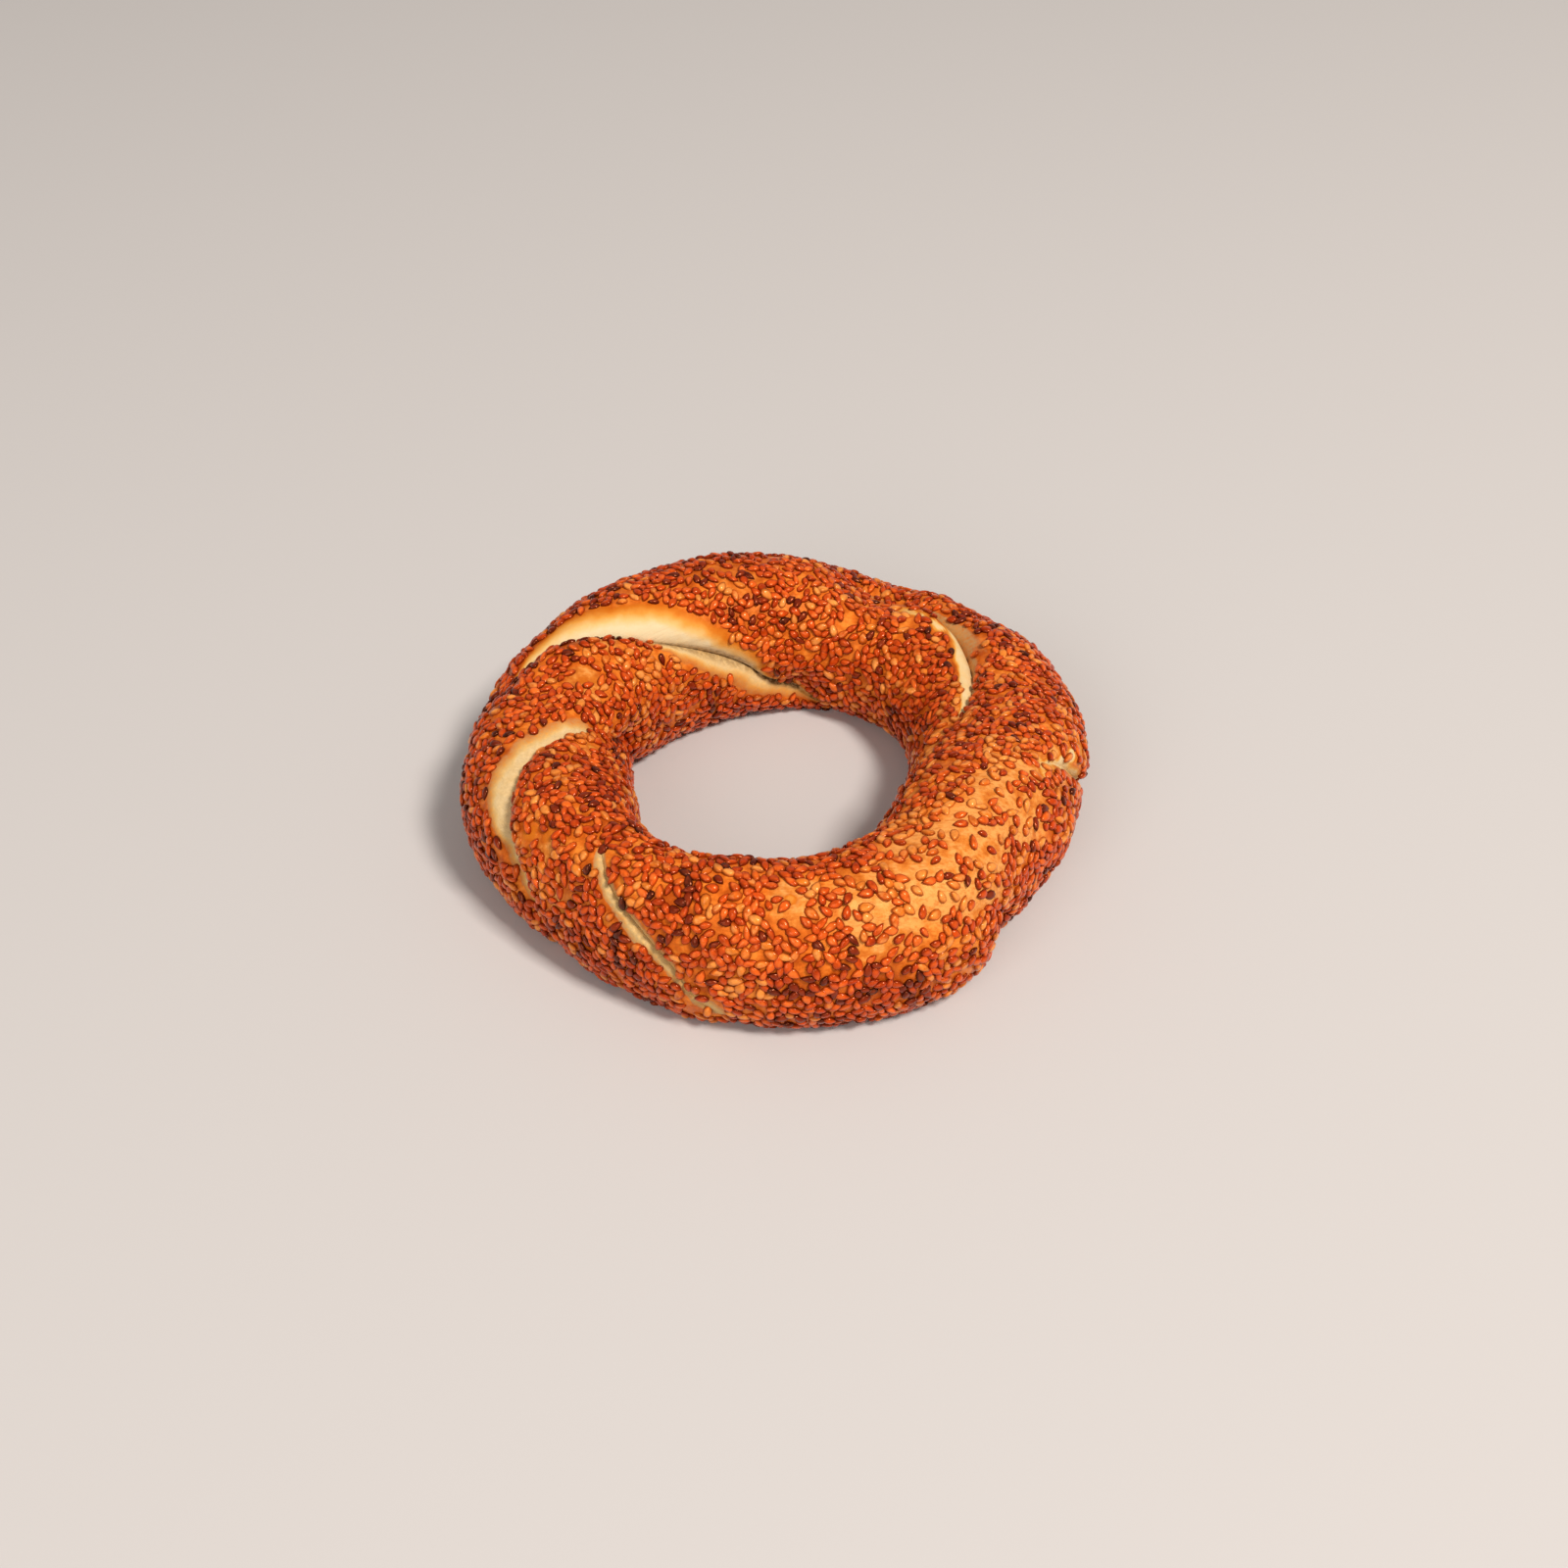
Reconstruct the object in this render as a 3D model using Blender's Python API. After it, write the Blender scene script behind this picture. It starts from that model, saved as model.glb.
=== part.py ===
"""A simit: a ring of bread made from two strands of dough wound round each other, rolled in sesame.

The two strands have baked into one body. Six seams cross the top of the ring from its outer side to its
hole, and each runs on underneath to the outer side two seams further round. Four of them have burst open
over part of their length, and a short tear crosses the right side. The underside is flat, as baked on a tray.

Bearings are degrees round the ring, anticlockwise from above, from +X. Turns are degrees round the dough's
own section: 0 is the outer side, 90 the crest, 180 the side of the hole and 270 the underside.
Lengths in the tables are millimetres.
"""

import math
import random

import bmesh
import bpy
import numpy as np
from mathutils import Matrix, Vector, noise

MM = 0.001

# The ring's middle in plan, which puts the middle of the finished piece's box on the origin
RING_MIDDLE = (-1.5, -1.7)

# Where each of the six bulges reaches furthest:
# bearing outside, reach outside, bearing at the hole, reach at the hole, height
BULGES = (
    (183, 71.5, 126, 36.0, 33.0),
    (227, 66.0, 197, 33.0, 34.5),
    (303, 72.0, 245, 42.5, 35.0),
    (327, 67.0, 288, 38.0, 36.0),
    (38, 79.0, 342, 31.0, 28.0),
    (114, 71.5, 64, 42.0, 38.0),
)

# Share of the height at which the section is widest, and how square its upper and lower halves are
WAIST = 0.44
UPPER_SQUARENESS = 2.15
LOWER_SQUARENESS = 2.4
# The lower half would reach this share of the waist's height below the tray, and is flat where it meets it
OVERREACH = 0.16

# Bearings of the six seams at turns of 0, 45, 90, 135 and 180
SEAM_TURNS = (0, 45, 90, 135, 180)
SEAMS = (
    (184, 166, 148, 130, 96),
    (216, 205.5, 190.5, 176, 160),
    (253, 237, 228, 221, 213),
    (318, 300, 282, 265, 248),
    (360, 351, 332, 306, 288),
    (471, 446, 399, 360, 342),
)
WIDE, LEFT, FRONT, FUSED, SIDE, BACK = range(6)

# Underneath, a seam ends where this many seams back started, so its curve has further knots on both sides
LANDS_BACK = 2
SEAM_KNOTS = (-180, -90, *SEAM_TURNS, 270, 360, 405)

# Every seam is a groove that reaches this far to each side. Each has its own depth on the ring's outer
# flank, on the flank at the hole and over the crest, and all have the same depth underneath
GROOVE_REACH = 7.0
GROOVE_OUTSIDE = (1.6, 2.5, 0.5, 1.2, 1.4, 2.8)
GROOVE_INSIDE = (1.5, 3.4, 2.0, 3.2, 0.5, 2.0)
GROOVE_CRESTS = (0.8, 0.8, 0.7, 0.2, 0.3, 1.8)
GROOVE_UNDER = 0.9

# Where a seam has burst: seam, turns at which it opens, gapes most and closes, depth,
# reach of the clockwise wall, reach of the other wall, rise of the lip on that other side
SPLITS = (
    (WIDE, 38, 92, 150, 4.2, 10.5, 1.6, 0.9),
    (WIDE, 104, 154, 222, 2.8, 5.0, 4.5, 0.0),
    (LEFT, -6, 48, 148, 3.2, 8.5, 1.4, 0.6),
    (FRONT, -42, 20, 88, 1.7, 1.2, 2.4, 0.0),
    (BACK, 62, 84, 106, 2.8, 5.4, 1.8, 0.5),
    (BACK, 76, 100, 128, 1.5, 2.2, 2.0, 0.2),
    (SIDE, -20, 8, 62, 3.2, 2.6, 2.0, 0.4),
)
# Turns past this one are read as turns below 0, and a lip starts, peaks and ends this far from its crease
WRAPS_PAST = 300
LIP_SPAN = (0.5, 3.5, 9.0)

# Local swells of the dough, hollows where negative: bearing, turn, reach, height
SWELLS = (
    (65, 74, 18.0, -4.9),
    (34, 62, 16.0, 1.4),
    (160, 179, 9.0, -4.2),
    (81, 192, 9.0, -3.0),
    (280, 132, 15.0, -1.6),
    (342, 8, 14.0, 1.6),
    (256, -18, 13.0, 1.4),
    (165, 40, 12.0, -1.4),
    (318, -16, 9.0, -3.6),
    (320, -44, 7.0, -1.6),
)

# Slow unevenness of the dough, and the heights between which it grows from nothing
LUMP_HEIGHT = 0.7
LUMP_SPACING = 17.0
LUMPS_GROW = (0.5, 8.0)

# Mesh: columns in each strand, crowded towards the seams, rows over the body, crowded towards the crest,
# and rows across the flat
COLUMNS = 14
CROWDING = 0.72
ROWS_OVER = 26
CREST_CROWDING = 0.4
ROWS_FLAT = 3

# Sesame: length, width and thickness of a large seed, and the share of its thickness that is sunk
SEED_SIZE = (3.7, 2.4, 1.3)
SEED_TAPER = 0.33
SEED_SUNK = 0.3
SEED_SIDES = 5
SEED_RINGS = 3
SEED_COUNT = 170
SEED_TRIES = 14
SEED_CLEAR_OF_SPLITS = 2.4
SEED_LOWEST = 3.5
RANDOM_START = 7

# A split's faces show crumb where they lie deeper than this
CRUMB_SHOWS_BELOW = 0.7

# Colour and roughness
CRUST = ((0.62, 0.22, 0.045), 0.5)
CRUMB = ((0.86, 0.66, 0.36), 0.8)
SESAME = ((0.48, 0.13, 0.03), 0.35)
SHARP_ANGLE = 50.0


def empty_scene():
    """Remove the objects that a new file starts with."""
    for thing in list(bpy.data.objects):
        bpy.data.objects.remove(thing, do_unlink=True)


def new_collection(name):
    """A collection linked to the scene."""
    collection = bpy.data.collections.new(name)
    bpy.context.scene.collection.children.link(collection)
    return collection


def plain_material(name, look):
    """A Principled material of one colour and roughness."""
    colour, roughness = look
    material = bpy.data.materials.new(name)
    material.use_nodes = True
    shader = material.node_tree.nodes["Principled BSDF"]
    shader.inputs["Base Color"].default_value = (*colour, 1.0)
    shader.inputs["Roughness"].default_value = roughness
    shader.inputs["Metallic"].default_value = 0.0
    material.diffuse_color = (*colour, 1.0)
    return material


def smooth(value, low, high):
    """0 at low, 1 at high, with a soft start and end."""
    share = np.clip((value - low) / (high - low), 0.0, 1.0)
    return share * share * (3.0 - 2.0 * share)


def blend_round(bearings, values, at):
    """Values known at some bearings, blended softly all the way round the ring."""
    order = np.argsort(bearings)
    known = np.asarray(bearings, float)[order]
    value = np.asarray(values, float)[order]
    known = np.append(known, known[0] + 360.0)
    value = np.append(value, value[0])
    bearing = (at - known[0]) % 360.0 + known[0]
    gap = np.clip(np.searchsorted(known, bearing, side="right") - 1, 0, len(known) - 2)
    share = (bearing - known[gap]) / (known[gap + 1] - known[gap])
    share = 0.5 - 0.5 * np.cos(math.pi * share)
    return value[gap] * (1.0 - share) + value[gap + 1] * share


def power(value, exponent):
    """A power that keeps the sign."""
    return np.sign(value) * np.abs(value) ** exponent


def plain_surface(bearing, turn):
    """Points of the ring before its seams are pressed in, mm."""
    outside, reach, inside, hole, height = (np.array(column) for column in zip(*BULGES))
    outer = blend_round(outside, reach, bearing)
    inner = blend_round(inside, hole, bearing)
    crest = blend_round(outside, height, bearing)
    waist = WAIST * crest
    across = np.cos(np.radians(turn))
    up = np.sin(np.radians(turn))
    squareness = np.where(up >= 0.0, UPPER_SQUARENESS, LOWER_SQUARENESS)
    radius = (outer + inner) / 2.0 + (outer - inner) / 2.0 * power(across, 2.0 / squareness)
    rise = power(up, 2.0 / squareness)
    level = np.where(up >= 0.0, waist + (crest - waist) * rise, waist + waist * (1.0 + OVERREACH) * rise)
    angle = np.radians(bearing)
    return np.stack(
        (radius * np.cos(angle), radius * np.sin(angle), np.maximum(level, 0.0)), axis=-1
    )


def outward(bearing, turn, step=0.5):
    """Unit normals of the plain surface."""
    round_ring = plain_surface(bearing + step, turn) - plain_surface(bearing - step, turn)
    round_dough = plain_surface(bearing, turn + step) - plain_surface(bearing, turn - step)
    normal = np.cross(round_ring, round_dough)
    return normal / np.linalg.norm(normal, axis=-1, keepdims=True)


def spline(knots, values, at):
    """A smooth curve through the values."""
    knots = np.asarray(knots, float)
    values = np.asarray(values, float)
    step = np.diff(knots)
    slope = np.diff(values) / step
    middle = (slope[1:] * step[:-1] + slope[:-1] * step[1:]) / (step[1:] + step[:-1])
    tangent = np.concatenate(([slope[0]], middle, [slope[-1]]))
    gap = np.clip(np.searchsorted(knots, at, side="right") - 1, 0, len(step) - 1)
    s = (at - knots[gap]) / step[gap]
    start = (1.0 + 2.0 * s) * (1.0 - s) ** 2 * values[gap] + s * (1.0 - s) ** 2 * step[gap] * tangent[gap]
    end = s * s * (3.0 - 2.0 * s) * values[gap + 1] - s * s * (1.0 - s) * step[gap] * tangent[gap + 1]
    return start + end


def seam_table(seam):
    """Bearings of a seam at SEAM_TURNS, for any whole number: seam 6 is seam 0 one round later."""
    rounds, index = divmod(seam, len(SEAMS))
    return np.array(SEAMS[index], float) + 360.0 * rounds


def seam_bearing(seam, turn):
    """Bearing of a seam at turns from -90 to 360: over the top, then on underneath."""
    before = seam_table(seam + LANDS_BACK)
    here = seam_table(seam)
    after = seam_table(seam - LANDS_BACK)
    values = (before[-1], (before[-1] + here[0]) / 2, *here, (here[-1] + after[0]) / 2, after[0], after[1])
    return spline(SEAM_KNOTS, values, turn)


def seam_spread(seam, turn, step=1.0):
    """Millimetres square across the seam for each degree of bearing."""
    bearing = seam_bearing(seam, turn)
    radius = np.linalg.norm(plain_surface(bearing, turn)[..., :2], axis=-1)
    chord = plain_surface(bearing, turn + step) - plain_surface(bearing, turn - step)
    along_section = np.linalg.norm(chord, axis=-1) / (2.0 * step)
    lean = (seam_bearing(seam, turn + step) - seam_bearing(seam, turn - step)) / (2.0 * step)
    round_ring = np.radians(lean) * radius
    straightness = along_section / np.hypot(along_section, round_ring)
    return np.radians(1.0) * radius * straightness


def wall(offset, reach):
    """Depth share of a split's wall: sheer at the crease, easing to nothing at its reach."""
    share = np.clip(1.0 - offset / reach, 0.0, 1.0)
    return 1.0 - np.sqrt(1.0 - share * share)


def gape(turn, opens, widest, closes):
    """How far a split has opened at this turn, from 0 to 1."""
    return smooth(turn, opens, widest) * (1.0 - smooth(turn, widest, closes))


def groove_relief(seam, turn, offset):
    """Height that the groove along one seam adds, mm: offset is square to the seam."""
    index = seam % len(SEAMS)
    across = np.cos(np.radians(turn))
    flank = np.where(across >= 0.0, GROOVE_OUTSIDE[index], GROOVE_INSIDE[index])
    level = np.where(np.sin(np.radians(turn)) >= 0.0, GROOVE_CRESTS[index], GROOVE_UNDER)
    depth = level + (flank - level) * across**4
    return -depth * np.clip(1.0 - np.abs(offset) / GROOVE_REACH, 0.0, 1.0) ** 2


def burst_relief(seam, turn, offset):
    """Height that the splits along one seam add, mm: offset is clockwise where negative."""
    turn_over = np.where(turn > WRAPS_PAST, turn - 360.0, turn)
    starts, peaks, ends = LIP_SPAN
    relief = np.zeros(np.shape(offset))
    for index, opens, widest, closes, depth, clockwise, other, lip in SPLITS:
        if index == seam % len(SEAMS):
            opening = gape(turn_over, opens, widest, closes)
            walls = np.where(offset < 0.0, wall(-offset, clockwise), wall(offset, other))
            rise = smooth(offset, starts, peaks) * (1.0 - smooth(offset, peaks, ends))
            relief = relief + opening * (lip * rise - depth * walls)
    return relief


def swells(points):
    """Height that the local swells add, mm."""
    height = np.zeros(points.shape[:-1])
    for bearing, turn, reach, rise in SWELLS:
        centre = plain_surface(np.array(float(bearing)), np.array(float(turn)))
        away = np.linalg.norm(points - centre, axis=-1)
        height = height + rise * (1.0 - smooth(away, 0.0, reach))
    return height


def lumps(points):
    """Slow unevenness, fading to nothing near the tray."""
    heights = [noise.noise(Vector(point) / LUMP_SPACING) for point in points.reshape(-1, 3)]
    grown = smooth(points[..., 2], *LUMPS_GROW)
    return LUMP_HEIGHT * np.array(heights).reshape(points.shape[:-1]) * grown


def body_surface(strand, share, turn):
    """Points of the finished crust, and the part of its height that the splits make, mm.

    share runs from 0 at the strand's first seam to 1 at its next.
    """
    first = seam_bearing(strand, turn)
    last = seam_bearing(strand + 1, turn)
    bearing = first + (last - first) * share
    plain = plain_surface(bearing, turn)
    past_first = (bearing - first) * seam_spread(strand, turn)
    short_of_last = (bearing - last) * seam_spread(strand + 1, turn)
    groove = groove_relief(strand, turn, past_first) + groove_relief(strand + 1, turn, short_of_last)
    burst = burst_relief(strand, turn, past_first) + burst_relief(strand + 1, turn, short_of_last)
    points = plain + outward(bearing, turn) * (groove + burst + swells(plain) + lumps(plain))[..., None]
    points[..., 2] = np.maximum(points[..., 2], 0.0)
    points[..., :2] += RING_MIDDLE
    return points, burst


def body_turns():
    """Turns of the mesh's rows: from the flat's outer edge over the top to its inner edge, then across it."""
    edge = math.degrees(math.asin((1.0 / (1.0 + OVERREACH)) ** (LOWER_SQUARENESS / 2.0)))
    share = np.linspace(0.0, 1.0, ROWS_OVER)
    share = share + CREST_CROWDING * np.sin(2.0 * math.pi * share) / (2.0 * math.pi)
    over = (180.0 + 2.0 * edge) * share - edge
    flat = np.linspace(180.0 + edge, 360.0 - edge, ROWS_FLAT + 1)[1:-1]
    return np.concatenate((over, flat))


def crowded(count):
    """Shares from 0 up to 1, closer together near both ends."""
    even = np.arange(count) / count
    return even - CROWDING * np.sin(2.0 * math.pi * even) / (2.0 * math.pi)


def make_body(collection, materials):
    """The ring of bread as one closed loft whose columns follow the seams."""
    turns = body_turns()
    columns = [(strand, share) for strand in range(len(SEAMS)) for share in crowded(COLUMNS)]
    mesh = bmesh.new()
    rings = []
    depths = []
    for strand, share in columns:
        points, burst = body_surface(strand, np.full(len(turns), share), turns)
        rings.append([mesh.verts.new(point * MM) for point in points])
        depths.append(burst)
    shift = LANDS_BACK * COLUMNS
    for column, ring in enumerate(rings):
        beside = (column + 1) % len(rings)
        for row in range(len(turns)):
            last_row = row == len(turns) - 1
            above = 0 if last_row else row + 1
            over_here = rings[column - shift] if last_row else ring
            over_beside = rings[beside - shift] if last_row else rings[beside]
            face = mesh.faces.new((ring[row], rings[beside][row], over_beside[above], over_here[above]))
            torn = not last_row and min(depths[column][row], depths[column][above]) < -CRUMB_SHOWS_BELOW
            face.material_index = 1 if torn else 0
    bmesh.ops.triangulate(mesh, faces=mesh.faces)
    data = bpy.data.meshes.new("simit")
    mesh.to_mesh(data)
    mesh.free()
    for material in materials:
        data.materials.append(material)
    body = bpy.data.objects.new("simit", data)
    collection.objects.link(body)
    return body


def seed_mesh(material):
    """One sesame seed lying flat: a flattened drop with its point towards +X."""
    length, width, thickness = (size * MM / 2.0 for size in SEED_SIZE)
    mesh = bmesh.new()
    bmesh.ops.create_uvsphere(mesh, u_segments=SEED_SIDES, v_segments=SEED_RINGS, radius=1.0)
    for vertex in mesh.verts:
        side, up, along = vertex.co
        slim = 1.0 - SEED_TAPER * along
        vertex.co = (along * length, side * slim * width, up * slim * thickness)
    bmesh.ops.recalc_face_normals(mesh, faces=mesh.faces)
    data = bpy.data.meshes.new("sesame")
    mesh.to_mesh(data)
    mesh.free()
    data.materials.append(material)
    return data


def seed_places(body):
    """Evenly spread points on the crust, each with its normal, clear of the splits and of the tray."""
    draw = random.Random(RANDOM_START)
    torn = [face.center.copy() for face in body.data.polygons if face.material_index == 1]
    crust = []
    for face in body.data.polygons:
        clear = all((face.center - point).length > SEED_CLEAR_OF_SPLITS * MM for point in torn)
        if clear and face.center.z > SEED_LOWEST * MM:
            crust.append(face)
    areas = [face.area for face in crust]
    places = []
    for _ in range(SEED_COUNT):
        best = None
        for face in draw.choices(crust, areas, k=SEED_TRIES):
            corners = [body.data.vertices[index].co for index in face.vertices]
            far_side = corners[1].lerp(corners[2], draw.random())
            point = corners[0].lerp(far_side, math.sqrt(draw.random()))
            room = min(((point - other).length for other, _ in places), default=math.inf)
            if best is None or room > best[0]:
                best = (room, point, face.normal.copy())
        places.append(best[1:])
    return places


def lay_seeds(body, material, collection):
    """Seeds lying on the crust at random headings, partly sunk."""
    draw = random.Random(RANDOM_START)
    data = seed_mesh(material)
    lift = (0.5 - SEED_SUNK) * SEED_SIZE[2] * MM
    for number, (point, normal) in enumerate(seed_places(body)):
        seed = bpy.data.objects.new(f"sesame_{number:03d}", data)
        facing = normal.to_track_quat("Z", "Y").to_matrix().to_4x4()
        heading = Matrix.Rotation(draw.uniform(0.0, 2.0 * math.pi), 4, "Z")
        seed.matrix_world = Matrix.Translation(point + normal * lift) @ facing @ heading
        collection.objects.link(seed)


def linked_parts(mesh):
    """The vertices of each closed part."""
    left = set(mesh.verts)
    parts = []
    while left:
        part = []
        reached = [left.pop()]
        while reached:
            vertex = reached.pop()
            part.append(vertex)
            for edge in vertex.link_edges:
                other = edge.other_vert(vertex)
                if other in left:
                    left.remove(other)
                    reached.append(other)
        parts.append(part)
    return parts


def keep_largest_part(data):
    """Drop the loose scraps and fill the sealed hollows that fusing leaves: they are the smaller parts."""
    mesh = bmesh.new()
    mesh.from_mesh(data)
    for part in sorted(linked_parts(mesh), key=len)[:-1]:
        bmesh.ops.delete(mesh, geom=part, context="VERTS")
    mesh.to_mesh(data)
    mesh.free()


def fuse(body, collection):
    """Join the collection's objects to the body, then remove them."""
    union = body.modifiers.new("seeds", "BOOLEAN")
    union.operation = "UNION"
    union.operand_type = "COLLECTION"
    union.collection = collection
    union.solver = "EXACT"
    union.material_mode = "TRANSFER"
    evaluated = body.evaluated_get(bpy.context.evaluated_depsgraph_get())
    fused = bpy.data.meshes.new_from_object(evaluated)
    body.modifiers.remove(union)
    keep_largest_part(fused)
    body.data = fused
    for seed in list(collection.objects):
        bpy.data.objects.remove(seed, do_unlink=True)
    bpy.data.collections.remove(collection)


def build():
    """Make the whole simit."""
    empty_scene()
    crust = plain_material("crust", CRUST)
    crumb = plain_material("crumb", CRUMB)
    sesame = plain_material("sesame", SESAME)
    collection = new_collection("simit")
    seeds = new_collection("seeds")
    body = make_body(collection, (crust, crumb))
    lay_seeds(body, sesame, seeds)
    fuse(body, seeds)
    body.data.shade_smooth()
    body.data.set_sharp_from_angle(angle=math.radians(SHARP_ANGLE))


build()
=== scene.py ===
"""Looks of the simit: its crust with the burst seams, and the toasted sesame that covers it.

The crust repeats the solid's surface on a finer mesh, so it has the same form, and adds the torn crumb
inside the burst seams. The sesame is scattered over it by one Geometry Nodes tree, run once for each kind.

Bearings are degrees round the ring, anticlockwise from above, from +X. Turns are degrees round the dough's
own section: 0 is the outer side, 90 the crest, 180 the side of the hole and 270 the underside.
Lengths in the tables are millimetres, and angles are degrees.
"""

import math

import bpy
import numpy as np
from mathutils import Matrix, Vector, noise


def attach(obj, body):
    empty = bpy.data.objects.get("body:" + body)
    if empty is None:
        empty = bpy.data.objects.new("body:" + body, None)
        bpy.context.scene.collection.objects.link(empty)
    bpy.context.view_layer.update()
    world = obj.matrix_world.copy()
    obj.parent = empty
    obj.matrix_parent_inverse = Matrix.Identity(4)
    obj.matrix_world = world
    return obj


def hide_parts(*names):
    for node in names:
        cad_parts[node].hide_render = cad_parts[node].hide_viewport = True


MM = 0.001

# The form of the solid

# The ring's middle in plan, which puts the middle of the finished piece's box on the origin
RING_MIDDLE = (-1.5, -1.7)

# Where each of the six bulges reaches furthest:
# bearing outside, reach outside, bearing at the hole, reach at the hole, height
BULGES = (
    (183, 71.5, 126, 36.0, 33.0),
    (227, 66.0, 197, 33.0, 34.5),
    (303, 72.0, 245, 42.5, 35.0),
    (327, 67.0, 288, 38.0, 36.0),
    (38, 79.0, 342, 31.0, 28.0),
    (114, 71.5, 64, 42.0, 38.0),
)

# Share of the height at which the section is widest, and how square its upper and lower halves are
WAIST = 0.44
UPPER_SQUARENESS = 2.15
LOWER_SQUARENESS = 2.4
# The lower half would reach this share of the waist's height below the tray, and is flat where it meets it
OVERREACH = 0.16

# Bearings of the six seams at turns of 0, 45, 90, 135 and 180
SEAM_TURNS = (0, 45, 90, 135, 180)
SEAMS = (
    (184, 166, 148, 130, 96),
    (216, 205.5, 190.5, 176, 160),
    (253, 237, 228, 221, 213),
    (318, 300, 282, 265, 248),
    (360, 351, 332, 306, 288),
    (471, 446, 399, 360, 342),
)
WIDE, LEFT, FRONT, FUSED, SIDE, BACK = range(6)

# Underneath, a seam ends where this many seams back started, so its curve has further knots on both sides
LANDS_BACK = 2
SEAM_KNOTS = (-180, -90, *SEAM_TURNS, 270, 360, 405)

# Every seam is a groove that reaches this far to each side. Each has its own depth on the ring's outer
# flank, on the flank at the hole and over the crest, and all have the same depth underneath
GROOVE_REACH = 7.0
GROOVE_OUTSIDE = (1.6, 2.5, 0.5, 1.2, 1.4, 2.8)
GROOVE_INSIDE = (1.5, 3.4, 2.0, 3.2, 0.5, 2.0)
GROOVE_CRESTS = (0.8, 0.8, 0.7, 0.2, 0.3, 1.8)
GROOVE_UNDER = 0.9

# Where a seam has burst: seam, turns at which it opens, gapes most and closes, depth,
# reach of the clockwise wall, reach of the other wall, rise of the lip on that other side
SPLITS = (
    (WIDE, 38, 92, 150, 4.2, 10.5, 1.6, 0.9),
    (WIDE, 104, 154, 222, 2.8, 5.0, 4.5, 0.0),
    (LEFT, -6, 48, 148, 3.2, 8.5, 1.4, 0.6),
    (FRONT, -42, 20, 88, 1.7, 1.2, 2.4, 0.0),
    (BACK, 62, 84, 106, 2.8, 5.4, 1.8, 0.5),
    (BACK, 76, 100, 128, 1.5, 2.2, 2.0, 0.2),
    (SIDE, -20, 8, 62, 3.2, 2.6, 2.0, 0.4),
)
# Turns past this one are read as turns below 0, and a lip starts, peaks and ends this far from its crease
WRAPS_PAST = 300
LIP_SPAN = (0.5, 3.5, 9.0)

# Local swells of the dough, hollows where negative: bearing, turn, reach, height
SWELLS = (
    (65, 74, 18.0, -4.9),
    (34, 62, 16.0, 1.4),
    (160, 179, 9.0, -4.2),
    (81, 192, 9.0, -3.0),
    (280, 132, 15.0, -1.6),
    (342, 8, 14.0, 1.6),
    (256, -18, 13.0, 1.4),
    (165, 40, 12.0, -1.4),
    (318, -16, 9.0, -3.6),
    (320, -44, 7.0, -1.6),
)

# Slow unevenness of the dough, and the heights between which it grows from nothing
LUMP_HEIGHT = 0.7
LUMP_SPACING = 17.0
LUMPS_GROW = (0.5, 8.0)

# The looks of the surface

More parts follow.
